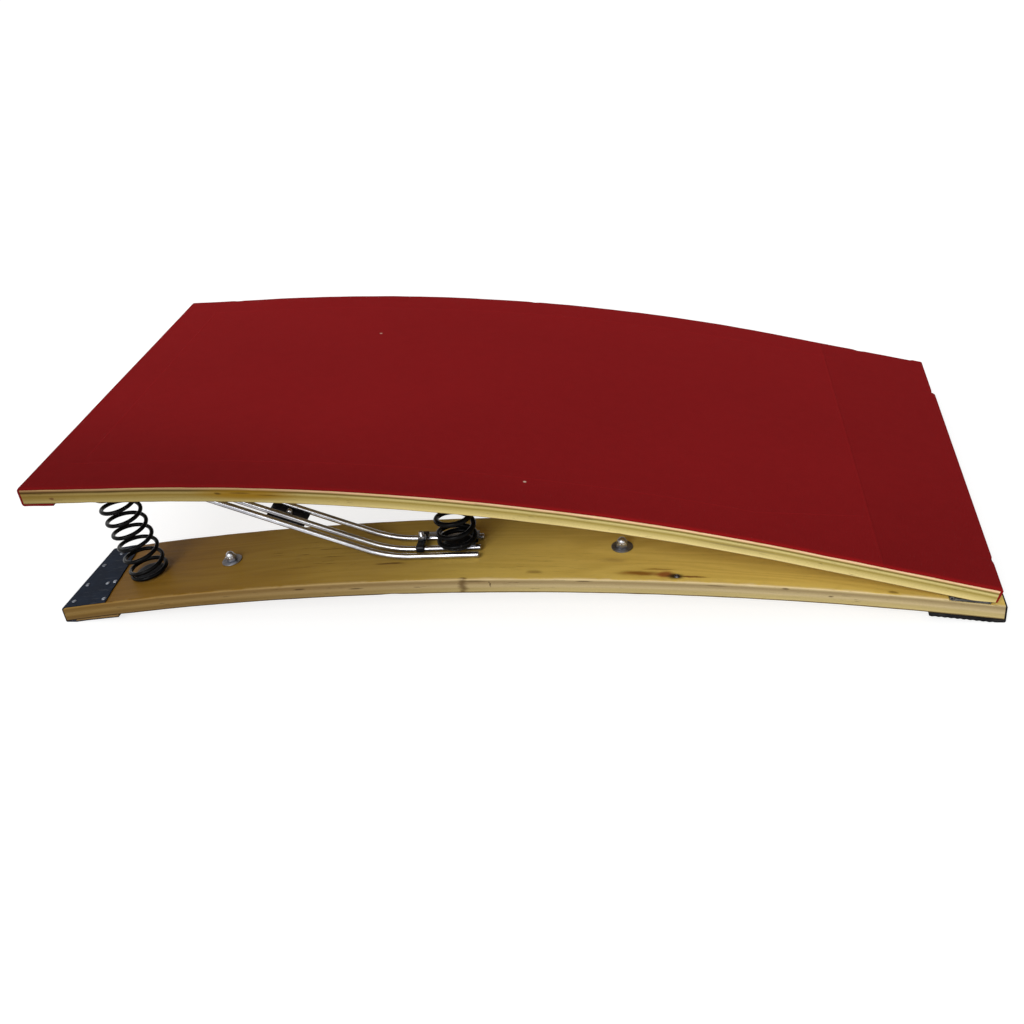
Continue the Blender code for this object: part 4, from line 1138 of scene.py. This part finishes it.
rod_top = deck_top - deck_thickness - contact_gap - rod_radius
front_end = Vector((rod_front_x, rod_top))
front_bend = Vector((rod_front_x + rod_front_flat, rod_top))
rear_bend = on_rods(-rod_rear_flat / 2, 0.0)
rear_end = on_rods(rod_rear_flat / 2, 0.0)
front_chamfer = front_end + (front_bend - front_end).normalized() * rod_chamfer
rear_chamfer = rear_end + (rear_bend - rear_end).normalized() * rod_chamfer
rod_line = [front_end, front_chamfer, front_bend, rear_bend, rear_chamfer, rear_end]


def flexing(piece, node):
    """Bakes a piece's place into its mesh, in place of a CAD node, which it hides."""
    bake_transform(piece)
    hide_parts(node)


for side, way in sides.items():
    for which, offset in rod_offsets.items():
        verts = [(point.x, bow_y(way, offset), point.y) for point in rod_line]
        edges = [(k, k + 1) for k in range(len(verts) - 1)]
        piece = grown(f"bent_rod_{which}_{side}", bending, rod_bright.material, verts, edges)
        flexing(piece, f"bow_rod_{which}_{side}")

# Spring seats. Zinc-plated plates spread each spring's load: one lies on the rods under the middle
# spring, with a tongue towards the clamp, and one hangs under the rods' front ends.
plate_edge = 0.0006


def softened(name, node, material, width):
    """A CAD node's shape with its edges rounded, as deburred or pressed metal has them."""
    mesh = bmesh.new()
    mesh.from_mesh(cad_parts[node].data)
    bmesh.ops.remove_doubles(mesh, verts=mesh.verts, dist=1e-5)
    bmesh.ops.dissolve_limit(mesh, angle_limit=math.radians(1), verts=mesh.verts, edges=mesh.edges)
    sharp = [edge for edge in mesh.edges if edge.is_manifold and edge.calc_face_angle(0.0) > math.radians(40)]
    rounding = {"offset": width, "segments": 2, "profile": 0.5, "clamp_overlap": True}
    bmesh.ops.bevel(mesh, geom=sharp, affect="EDGES", **rounding)
    bmesh.ops.triangulate(mesh, faces=[face for face in mesh.faces if len(face.verts) > 4])
    return settle(name, mesh, material)


for side in sides:
    for kind, body in (("mid_spring_seat", "base"), ("front_spring_seat", "deck")):
        piece = softened(f"{kind}_{side}_plate", f"{kind}_{side}", zinc, plate_edge)
        stand_in(piece, body, "zinc_plate", f"{kind}_{side}")

# Rod clamps. A blackened steel saddle over two rods, drawn down by a bolt that comes up through
# the runner between them, with a plain nut on top.
clamp_x = -0.106
clamp_thickness = 0.003
saddle_nut_flats = 0.010
saddle_nut_height = 0.005
saddle_bolt_radius = 0.003
saddle_head_radius = 0.008
saddle_tail = 0.006
rod_pair = (rod_offsets["middle"] + rod_offsets["inner"]) / 2
nut_low = rod_radius + 2 * contact_gap + clamp_thickness
nut_high = nut_low + saddle_nut_height
nut_bore = saddle_bolt_radius + contact_gap
saddle_nut = [*nut_profile(nut_low, saddle_nut_height, saddle_nut_flats, nut_bore), (nut_bore, nut_high)]
bearing = -rod_radius - 2 * contact_gap - runner_thickness
tip = nut_high + saddle_tail
saddle_bolt = [(0.0, bearing - 0.003), (0.0048, bearing - 0.0029), (0.0072, bearing - 0.0018)]
saddle_bolt += [(saddle_head_radius, bearing - 0.0004), (saddle_head_radius, bearing)]
saddle_bolt += [(saddle_bolt_radius, bearing), (saddle_bolt_radius, 0.0)]
thread_turns = 11
thread_root = 0.88 * saddle_bolt_radius
thread_start = nut_low - 0.002
thread_end = tip - 0.0008
thread_pitch = (thread_end - thread_start) / thread_turns
for k in range(thread_turns):
    z = thread_start + thread_pitch * k
    saddle_bolt += [(saddle_bolt_radius, z), (thread_root, z + thread_pitch / 2)]
saddle_bolt += [(saddle_bolt_radius, thread_end), (0.0023, tip), (0.0, tip)]
for side, way in sides.items():
    piece = softened(f"rod_saddle_{side}", f"rod_clamp_{side}", pin_steel, 0.0005)
    stand_in(piece, "base", "dark_steel", f"rod_clamp_{side}")
    point = on_rods((clamp_x - on_rods(0.0, 0.0).x) / math.cos(rod_slope), 0.0)
    place = Matrix.Translation((point.x, bow_y(way, rod_pair), point.y)) @ Matrix.Rotation(-rod_slope, 4, "Y")
    piece = lathe(f"saddle_nut_{side}", bright, saddle_nut, place, saddle_nut_flats, nut_high, 72)
    stand_in(piece, "base", "bright_fastener", f"clamp_nut_{side}")
    piece = lathe(f"saddle_bolt_{side}", bright, saddle_bolt, place, sides_round=40)
    stand_in(piece, "base", "bright_fastener", f"clamp_bolt_{side}")

# Rod ties. A flat dark strap under each bow keeps two rods together where they slope, held by a
# round-headed screw whose head sits between them.
tie_finishes = {
    "rod_tie": ("dark_steel", pin_steel, 0.0006),
    "rod_tie_screw": ("bright_fastener", bright, 0.0004),
}
for side in sides:
    for kind, (slot, material, edge) in tie_finishes.items():
        piece = softened(f"bow_{kind}_{side}", f"{kind}_{side}", material, edge)
        flexing(piece, f"{kind}_{side}")

# Springs. Cold-coiled wire, closed at both ends and dipped in black lacquer: a tall one square to
# the runner under each front end of the deck, and a shorter, heavier one on the rods amidships.
spring_black = Finish("black_spring")
point = spring_black.place()
cloud = spring_black.grain(point, 70.0, 4.0, 0.6)
fine = spring_black.grain(point, 900.0, 2.0)
rubbed = spring_black.step(spring_black.grain(point, (190.0, 190.0, 320.0), 4.0), 0.68, 0.76)
lacquer = spring_black.mix(cloud, tint(5, 5, 6), tint(14, 14, 15))
lacquer = spring_black.mix(rubbed * 0.4, lacquer, tint(80, 76, 74))
spring_rough = 0.16 + 0.14 * cloud + rubbed * 0.2
spring_sockets = {"Base Color": lacquer, "Roughness": spring_rough, "Specular IOR Level": 0.06}
spring_black.wear(0.00005, cloud * 0.6 + fine * 0.25 - rubbed * 0.4, spring_sockets)

spring_shapes = {
    "front": {"Turns": 8.3, "Lead": 0.53, "Coil radius": 0.0239, "Wire radius": 0.00275, "Closed turns": 1.0},
    "mid": {"Turns": 5.5, "Lead": 0.0, "Coil radius": 0.0230, "Wire radius": 0.0034, "Closed turns": 1.25},
}
coil_sizes = {"Closed pitch": 0.0064, "Flare": 0.004, "Flare turns": 0.22, "Points": 360, "Sides": 18}
coil_places = {"Foot": (0.0, 0.0, 0.0), "Head": (0.0, 0.0, 0.14), "Foot slope": 0.0, "Head slope": 0.0}
coil_inputs = {**spring_shapes["front"], **coil_sizes, **coil_places}
coiling = Growth("coil_spring", coil_inputs)
turns, lead, coil_radius, wire_radius, closed_turns, closed_pitch, flare, flare_turns, points, wire_sides = (
    coiling.take(label) for label in [*spring_shapes["front"], *coil_sizes]
)
foot, head, foot_slope, head_slope = (coiling.take(label) for label in coil_places)
row = coiling.node("GeometryNodeMeshLine", sockets={"Count": points})
turned_by = coiling.node("GeometryNodeInputIndex") / (points - 1.0) * turns
closed = closed_pitch * closed_turns
reach = coiling.vectors("SUBTRACT", head, foot)
tall = coiling.vectors("LENGTH", reach)
foot_part = coiling.maths("MINIMUM", turned_by, closed_turns) * closed_pitch
head_start = turns - closed_turns
head_part = coiling.maths("MAXIMUM", turned_by - head_start, 0.0) * closed_pitch
opened = coiling.maths("MAXIMUM", turned_by - closed_turns, 0.0)
open_turns = coiling.maths("MINIMUM", opened, head_start - closed_turns)
open_pitch = (tall - 2.0 * closed) / (head_start - closed_turns)
portion = (foot_part + head_part + open_turns * open_pitch) / tall
slope = foot_slope + (head_slope - foot_slope) * portion
widening = flare * coiling.maths("MAXIMUM", 1.0 - (turns - turned_by) / flare_turns, 0.0)
radius = coil_radius + widening
angle = (turned_by + lead) * math.tau
across = radius * coiling.maths("COSINE", angle)
aside = radius * coiling.maths("SINE", angle)
risen = coiling.node("ShaderNodeVectorMath", {"operation": "SCALE"}, {0: reach, 1: portion})
raised = across * coiling.maths("SINE", slope)
swing = coiling.together(across * coiling.maths("COSINE", slope), aside, raised)
coil_point = coiling.vectors("ADD", coiling.vectors("ADD", foot, risen), swing)
helix = coiling.node("GeometryNodeSetPosition", sockets={"Geometry": row, "Position": coil_point})
helix = coiling.node("GeometryNodeMeshToCurve", sockets={"Mesh": helix})
coiling.close(coiling.swept(helix, coiling.ring(wire_radius, wire_sides)))


def seated(point, slope, lift):
    """A point moved square to a seat's slope."""
    return point + Vector((-math.sin(slope), math.cos(slope))) * lift


spring_offset = 0.0065
coil_steps = 44
front_spring_x = -0.4922
seat_thickness = 0.002
seat_setback = 0.0065
mid_seat_length = 0.045
closed_gap = 0.0009
mid_reach = rod_rear_flat / 2 - seat_setback - mid_seat_length / 2
deck_radius = 3.200
deck_front_flat = 0.150
deck_slope = math.radians(14.8)
hinge_range = math.radians(3.3)
hinge_height = on_arch(hinge_x, runner_thickness)


def deck_face(x, depth):
    """Height of the deck's face at x on its arc, a depth below the upper face, and its slope."""
    across = x - (deck_front_x + deck_front_flat)
    radius = deck_radius - depth
    if across <= 0:
        return deck_top - depth, 0.0
    height = deck_top - deck_radius + math.sqrt(radius * radius - across * across)
    return height, -math.asin(across / deck_radius)


def pressed(point, reach):
    """Where a point of the deck's underside goes when the deck is pressed home, and a little lower, as
    the deck leans over a coil that reaches this far."""
    low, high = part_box("hinge_pin_left")
    pin = Vector(((low.x + high.x) / 2, (low.z + high.z) / 2))
    arm = point - pin
    across = arm.x * math.cos(hinge_range) - arm.y * math.sin(hinge_range)
    up = arm.x * math.sin(hinge_range) + arm.y * math.cos(hinge_range)
    return pin + Vector((across, up - reach * math.sin(hinge_range)))


front_slope = arch_slope(front_spring_x)
front_foot = Vector((front_spring_x, on_arch(front_spring_x, runner_thickness)))
seat_under = rod_top - rod_radius - contact_gap - seat_thickness
front_head = Vector((front_spring_x - (seat_under - front_foot.y) * math.tan(front_slope), seat_under))
mid_foot = on_rods(mid_reach, rod_radius + contact_gap + seat_thickness)
mid_height, mid_slope = deck_face(mid_foot.x, deck_thickness)
mid_head = Vector((mid_foot.x, mid_height))
spring_seats = {
    "front": (front_foot, front_slope, front_head, 0.0),
    "mid": (mid_foot, rod_slope, mid_head, mid_slope),
}
coil_seed = [(0.0, 0.0, 0.0)]
for side, way in sides.items():
    y = bow_y(way, spring_offset)
    for which, shape in spring_shapes.items():
        foot, foot_slope, head, head_slope = spring_seats[which]
        wire = shape["Wire radius"]
        low = seated(foot, foot_slope, wire + contact_gap)
        high = seated(head, head_slope, -wire - contact_gap)
        values = {
            **shape,
            "Points": round(shape["Turns"] * coil_steps) + 1,
            "Closed pitch": 2 * wire + closed_gap,
            "Foot": (low.x, y, low.y),
            "Head": (high.x, y, high.y),
            "Foot slope": foot_slope,
            "Head slope": head_slope,
        }
        piece = grown(f"{which}_coil_{side}", coiling, spring_black.material, coil_seed, values=values)
        stand_in(piece, "base", "black_spring", f"{which}_spring_{side}")
        shift = pressed(head, shape["Coil radius"] + 4 * wire) - head
        way_in = shift.normalized()
        keep = 1 - shift.length / abs((head - foot).dot(way_in))
        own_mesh(piece)

# Spring anchors. A low dark disc sits inside each end coil on a shank that goes through the seat
# into the wood, and keeps the spring from walking.
anchor_steel = metal("anchor_steel", tint(40, 40, 44), tint(28, 28, 30), tint(62, 44, 34), 0.40, 0.8)
anchor_edge = 0.0006
anchors = {
    "front_spring_foot_anchor": "base",
    "front_spring_head_anchor": "deck",
    "mid_spring_anchor": "base",
}
for side in sides:
    for kind, body in anchors.items():
        piece = softened(f"{kind}_{side}_disc", f"{kind}_{side}", anchor_steel, anchor_edge)
        stand_in(piece, body, "dark_steel", f"{kind}_{side}")

# Deck board. Seven plies of birch pressed to a long curve, with a level lip in front and a straight
# run to the hinges behind, where its underside is planed to a flat seat. Its long edges stay bare.
deck_length = 1.200
deck_width = 0.600
deck_plies = 7
deck_straight = deck_length - deck_front_flat - deck_radius * deck_slope
deck_arc_end = deck_length - deck_straight
leaf_thickness = 0.0015
arc_centre = Vector((deck_front_x + deck_front_flat, deck_top - deck_radius))


def on_deck(distance, height):
    """Point of the deck as (x, z): along its upper face from the front, and above that face."""
    if distance < deck_front_flat:
        return Vector((deck_front_x + distance, deck_top + height))
    swing = min(distance - deck_front_flat, deck_radius * deck_slope) / deck_radius
    outwards = Vector((math.sin(swing), math.cos(swing)))
    onwards = Vector((math.cos(swing), -math.sin(swing)))
    beyond = max(distance - deck_arc_end, 0.0)
    return arc_centre + outwards * (deck_radius + height) + onwards * beyond


def planed(point):
    """A point of the deck's underside, lifted to the seat over the hinge leaf."""
    slope = arch_slope(hinge_x)
    lift = leaf_thickness + 2 * contact_gap
    anchor = Vector((hinge_x - lift * math.sin(slope), hinge_height + lift * math.cos(slope)))
    if point.x <= anchor.x:
        return point
    return Vector((point.x, max(point.y, anchor.y + (point.x - anchor.x) * math.tan(slope))))


deck_marks = [
    side_mark(0.300, 0.0085, 0.085, 0.0110, (136, 98, 0), 0.80),
    side_mark(0.264, 0.0080, 0.006, 0.0022, (66, 44, 10), 0.80),
    side_mark(0.294, 0.0067, 0.018, 0.0014, (84, 56, 10), 0.75),
    side_mark(0.330, 0.0090, 0.022, 0.0013, (92, 64, 12), 0.65),
    side_mark(0.042, 0.0130, 0.005, 0.0028, (96, 60, 34), 0.80),
    side_mark(0.120, 0.0045, 0.030, 0.0014, (70, 48, 20), 0.65),
    side_mark(0.716, 0.0050, 0.016, 0.0014, (70, 50, 24), 0.60),
    side_mark(0.900, 0.0110, 0.070, 0.0016, (140, 122, 78), 0.60),
]
deck_front = {
    "veneer": tint(206, 180, 124),
    "figure": tint(180, 146, 90),
    "arris": tint(150, 114, 76),
    "layers": [
        (0.00, 134, 100, 62), (0.07, 134, 100, 62), (0.12, 102, 74, 36), (0.19, 52, 30, 2),
        (0.24, 84, 58, 18), (0.30, 124, 100, 48), (0.37, 136, 110, 56), (0.47, 120, 96, 40),
        (0.60, 128, 104, 48), (0.72, 134, 112, 58), (0.84, 146, 126, 74), (0.93, 140, 122, 70),
        (0.97, 62, 44, 18), (1.00, 52, 38, 14),
    ],
}
deck_rear = {
    "veneer": tint(214, 188, 128),
    "figure": tint(186, 152, 92),
    "arris": tint(252, 210, 172),
    "layers": [
        (0.00, 250, 206, 160), (0.08, 250, 206, 160), (0.13, 186, 156, 100), (0.20, 112, 92, 30),
        (0.25, 170, 154, 88), (0.31, 218, 202, 136), (0.38, 200, 180, 114), (0.47, 162, 142, 70),
        (0.55, 180, 160, 90), (0.66, 204, 184, 116), (0.80, 220, 200, 130), (0.93, 232, 210, 142),
        (0.975, 124, 98, 48), (1.00, 106, 82, 36),
    ],
}
deck_fade = (-0.10, 0.85)
deck_glue = tint(84, 62, 26)
deck_ply = plywood("deck_ply", deck_thickness, deck_front, deck_rear, deck_fade, deck_glue, deck_marks)
deck_saw = 0.005
deck_saw_reach = 0.120
deck_step = 0.0035
deck_step_y = 0.193
deck_step_run = 0.005


def cut_back(station, y):
    """Shift, as (x, z), of the deck's rear end, which was sawn askew and is shortest on the far side."""
    near = min(max(0.0, 1 - (deck_length - station) / deck_saw_reach), 1.0)
    step = min(max(0.0, (y - deck_step_y) / deck_step_run), 1.0)
    back = near * (deck_saw * (y / deck_width + 0.5) + deck_step * step)
    return Vector((-math.cos(deck_slope), math.sin(deck_slope))) * back


def lay_deck(along, across, depth):
    """Place on the deck: along its upper face, from its middle line, and below that face."""
    point = on_deck(along, -depth)
    if depth > deck_thickness / 2:
        point = planed(point)
    point += cut_back(along, across)
    return point.x, across, point.y


deck_steps = 240
deck_easing = 0.0010
deck_chips = [(0.090, 3, 0.010, 0.0012), (0.310, 0, 0.012, 0.0010)]
deck_chips += [(0.760, 3, 0.008, 0.0016), (0.980, 2, 0.009, 0.0014)]
stations = [deck_length * k / deck_steps for k in range(deck_steps + 1)]
deck_stock = (deck_width, deck_thickness, deck_plies, deck_easing)
piece = board("deck_panel", deck_ply, stations, lay_deck, *deck_stock, deck_chips)
stand_in(piece, "deck", "deck_ply", "deck_board")

# Carpet. One piece of dark red needle-felt carpet is glued over the deck, wrapped round the front
# end to a stapled flap underneath and turned down over the rear end. Its long edges are cut flush.
carpet_thickness = 0.003
carpet_flap = 0.040
carpet_steps = 280
corner_steps = 6


def corner_arc(corner, radius, start, end):
    """Points round a corner from one angle to another, in degrees."""
    angles = [math.radians(start + (end - start) * k / corner_steps) for k in range(corner_steps + 1)]
    return [corner + Vector((math.cos(angle), math.sin(angle))) * radius for angle in angles]


def carpet_line(reach):
    """The carpet's line at a distance off the board, from the flap's end to the rear end."""
    low = on_deck(0.0, -deck_thickness)
    high = on_deck(0.0, 0.0)
    rear = on_deck(deck_length, 0.0)
    rear_low = planed(on_deck(deck_length, -deck_thickness))
    degrees = math.degrees(deck_slope)
    away = Vector((math.cos(deck_slope), -math.sin(deck_slope)))
    line = [low + Vector((carpet_flap * (1 - k / 8), -reach)) for k in range(8)]
    line += corner_arc(low, reach, 270, 180)
    line += corner_arc(high, reach, 180, 90)
    line += [on_deck(deck_length * k / carpet_steps, reach) for k in range(1, carpet_steps)]
    line += corner_arc(rear, reach, 90 - degrees, -degrees)
    line += [(rear + away * reach).lerp(rear_low + away * reach, k / 4) for k in range(1, 5)]
    return line


carpet_outer = carpet_line(contact_gap + carpet_thickness)
carpet_inner = carpet_line(contact_gap)
top_start = carpet_flap + deck_thickness
carpet_half = deck_width / 2
front_nicks = (-0.230, 0.190)
rear_nicks = (-0.238, 0.196)
far_nicks = (0.090, 0.589, 1.106)


def deepest(distance, middles, half):
    """How far in the nearest of several cut-ins reaches, from 0 at its half width to 1 at its middle."""
    return max(max(0.0, 1 - abs(distance - middle) / half) for middle in middles)


front_nick = 0.0027
rear_nick = 0.0024
far_nick = 0.0028
fold_end = 0.004
pile_wear = 0.0011


def carpet_moved(spot, point):
    """Small waves, worn edges, nicks at the folds, and the far rear corner cut flush."""
    along, _, depth = spot
    x, y = point.x, point.y
    station = along - top_start
    edge = carpet_half - abs(y)
    if depth == 0.0 and fold_end < station < deck_length - 0.002:
        wave = 0.00030 * wander(x * 7, y * 7) + 0.00015 * wander(x * 31, y * 31) - 0.0003
        point.z += wave - pile_wear * math.exp(-edge / 0.0016)
    if depth == 0.0 and station <= fold_end:
        slit = front_nick * deepest(y, front_nicks, 0.010)
        point.x += slit if point.z < deck_top + 0.002 else 0.0
        point.z -= slit if point.z > deck_top else 0.0
    if depth == 0.0 and station > deck_length:
        point.x -= rear_nick * deepest(y, rear_nicks, 0.006)
    back = cut_back(station, y)
    point.x += back.x
    point.z += back.y
    trim = 0.0006 * (1 + wander(along * 40, math.copysign(2.0, y))) * math.exp(-edge / 0.01)
    if y > 0:
        trim += far_nick * deepest(station, far_nicks, 0.010) * math.exp(-edge / fold_end)
    point.y -= math.copysign(trim, y)
    return point


carpet_columns = 96
nick_spacing = 0.0025
broad_half = carpet_half - 0.010
across = [-broad_half + 2 * broad_half * k / carpet_columns for k in range(carpet_columns + 1)]
for way in sides.values():
    across += [way * (carpet_half - inset) for inset in (0.006, 0.003, 0.0012, 0.0004, 0.0)]
for middle in (*front_nicks, *rear_nicks):
    across += [middle + nick_spacing * k for k in range(-2, 3)]
across = sorted(set(across))

line_width = 0.0022
crease_width = 0.0030
felt = Finish("red_carpet")
point = felt.value("grain")
along, aside, _ = felt.split(point)
tuft = felt.grain(point, 620.0, 4.0, 0.65)
fibre = felt.grain(point, (260.0, 1500.0, 900.0), 3.0, 0.6)
mottle = felt.grain(point, (55.0, 70.0, 55.0), 4.0, 0.6)
broad = felt.grain(point, (3.0, 4.0, 3.0), 3.0)
lint = felt.step(felt.grain(point, 130.0, 2.0), 0.82, 0.85)
station = along - top_start
from_near = aside + carpet_half
crease_at = station - (1.075 - 0.053 * from_near)
crease = felt.step(felt.maths("ABSOLUTE", crease_at), crease_width, 0.0)
# Mask of the carpet past the crease, which is painted a little darker as shade where the pile there faces
# away from the light.
beyond = felt.step(crease_at, -0.001, 0.004)
within = felt.step(station, 0.050, 0.058) * felt.step(station, 1.080, 1.050)
inside = felt.step(felt.maths("ABSOLUTE", aside - 0.012), 0.236, 0.228)
front_line = felt.step(felt.maths("ABSOLUTE", station - 0.068), line_width, 0.0) * inside
near_line = felt.maths("ABSOLUTE", aside + 0.238 - felt.maths("MAXIMUM", station - 0.930, 0.0) * 0.30)
far_line = felt.maths("ABSOLUTE", aside - 0.250)
side_lines = felt.step(felt.maths("MINIMUM", near_line, far_line), line_width, 0.0) * within
traces = felt.maths("MAXIMUM", front_line, side_lines)
# A mask strongest at the near front corner of the carpet, where it is painted darker.
darker_near_front = felt.step(station * 0.9 + from_near * 3.0, 0.95, 0.10)
colour = felt.mix(tuft, tint(112, 15, 17), tint(140, 27, 29))
colour = felt.mix(felt.step(fibre, 0.60, 0.75) * 0.30, colour, tint(158, 38, 40))
light = 0.83 + 0.16 * mottle + 0.20 * broad + from_near * 0.24
# Darker at the near front corner, and a little darker past the crease as painted shade.
light = light - 0.24 * darker_near_front - 0.08 * beyond + 0.10 * traces
colour = felt.shade(colour, light)
rim = felt.step(carpet_half - felt.maths("ABSOLUTE", aside), 0.006, 0.0)
colour = felt.mix(rim * (0.10 + 0.50 * felt.step(station, 0.3, 1.0)), colour, tint(158, 22, 24))
colour = felt.mix(lint * 0.6, colour, tint(196, 168, 150))
for speck_x, speck_y in ((0.372, 0.151), (0.648, -0.247)):
    speck = felt.blot(point, (speck_x + top_start, speck_y, 0.0), (0.0026, 0.0022, 5.0), 0.5)
    colour = felt.mix(speck * 0.8, colour, tint(214, 190, 170))
pile = tuft * 0.6 + fibre * 0.35 + mottle * 0.30 + traces * 0.35 + crease * 0.6 - beyond * 0.2
felt.wear(0.0009, pile, {"Base Color": colour, "Roughness": 0.86 + 0.12 * tuft, "Specular IOR Level": 0.03})
piece = skin("carpet_sheet", felt.material, carpet_outer, carpet_inner, across, carpet_moved)
stand_in(piece, "deck", "red_carpet", "deck_carpet")

# Flap staples. A row of plated wire staples, shot in by hand and a little crooked, holds the carpet's
# flap under the front edge of the deck.
staple_wire = metal("staple_wire", tint(176, 178, 184), tint(130, 130, 136), tint(104, 82, 62), 0.24)
stapling = Growth("staples", {"Crown": 0.0105, "Wire radius": 0.0005, "Seed": 9})
staple_askew = (0.0, 0.0, 0.35)
crown_half = stapling.take("Crown") * 0.5
crown_start = stapling.together(0.0, crown_half * -1.0, 0.0)
crown_end = stapling.together(0.0, crown_half, 0.0)
crown = stapling.node("GeometryNodeCurvePrimitiveLine", sockets={"Start": crown_start, "End": crown_end})
crown = stapling.swept(crown, stapling.ring(stapling.take("Wire radius"), 10))
spin = stapling.node("FunctionNodeEulerToRotation", sockets={"Euler": stapling.jitter(staple_askew)})
stapling.close(stapling.scatter(crown, spin))
staple_z = deck_top - deck_thickness - contact_gap - carpet_thickness
staple_x = deck_front_x + 0.031
staple_count = 15
staple_pitch = 0.040
staple_row = [(k, -0.280 + staple_pitch * k) for k in range(staple_count)]
verts = [(staple_x + 0.003 * wander(k * 3.3), y, staple_z) for k, y in staple_row]
piece = grown("flap_staples", stapling, staple_wire, verts)
stand_in(piece, "deck", "bright_fastener")

# Studio. A plain pale floor that runs out to white, a broad soft sun low from the near side, an even
# white surround, and a long lens that looks down on the near side from a little to the right.
floor_mesh = bmesh.new()
bmesh.ops.create_grid(floor_mesh, x_segments=1, y_segments=1, size=30.0)
floor_data = bpy.data.meshes.new("floor")
floor_mesh.to_mesh(floor_data)
floor_mesh.free()
floor = bpy.data.objects.new("floor", floor_data)
bpy.context.scene.collection.objects.link(floor)
floor.location = (0.0, 0.0, -0.0002)
pale = Finish("pale_floor")
seen = pale.node("ShaderNodeLightPath", output="Is Camera Ray")
mirrored = pale.node("ShaderNodeLightPath", output="Is Glossy Ray")
through = pale.node("ShaderNodeLightPath", output="Is Transmission Ray")
shown = pale.maths("MAXIMUM", pale.maths("MAXIMUM", seen, mirrored), through)
speckle = pale.grain(pale.place(), 3.0, 2.0)
lit_floor = pale.mix(speckle, tint(218, 218, 218), tint(222, 222, 222))
floor_colour = pale.mix(shown, lit_floor, tint(160, 160, 160))
floor_glow = pale.mix(shown, tint(0, 0, 0), tint(255, 255, 255))
pale.coat({"Base Color": floor_colour, "Roughness": 0.9, "Specular IOR Level": 0.0})
pale.coat({"Emission Color": floor_glow, "Emission Strength": 0.78})
floor_data.materials.append(pale.material)

world = bpy.data.worlds.new("surround")
bpy.context.scene.world = world
world.use_nodes = True
sky = Graph(world.node_tree)
background = world.node_tree.nodes["Background"]
direct = sky.node("ShaderNodeLightPath", output="Is Camera Ray")
glossy = sky.node("ShaderNodeLightPath", output="Is Glossy Ray")
sky.feed(background.inputs["Color"], (1.0, 1.0, 1.0, 1.0))
sky.feed(background.inputs["Strength"], 0.55 + 0.45 * sky.maths("MAXIMUM", direct, glossy))

sun_data = bpy.data.lights.new("soft_sun", "SUN")
sun_data.energy = 1.6
sun_data.angle = math.radians(30)
sun = bpy.data.objects.new("soft_sun", sun_data)
sun.rotation_euler = (math.radians(54), 0.0, math.radians(-18))
bpy.context.scene.collection.objects.link(sun)

yaw = math.radians(12.53)
pitch = math.radians(31.80)
roll = math.radians(-7.64)
camera_place = (0.28935, -1.45257, 0.89632)
sensor = 36.0
focal_pixels = 1177
frame_pixels = 1024
forward = Vector((-math.sin(yaw) * math.cos(pitch), math.cos(yaw) * math.cos(pitch), -math.sin(pitch)))
level = Vector((math.cos(yaw), math.sin(yaw), 0.0))
upright = level.cross(forward)
right = level * math.cos(roll) + upright * math.sin(roll)
upward = upright * math.cos(roll) - level * math.sin(roll)
camera_data = bpy.data.cameras.new("camera")
camera_data.sensor_width = sensor
camera_data.lens = sensor * focal_pixels / frame_pixels
camera = bpy.data.objects.new("camera", camera_data)
turned_camera = Matrix((right, upward, -forward)).transposed().to_4x4()
camera.matrix_world = Matrix.Translation(camera_place) @ turned_camera
bpy.context.scene.collection.objects.link(camera)
bpy.context.scene.camera = camera
bpy.context.scene.view_settings.view_transform = "Standard"
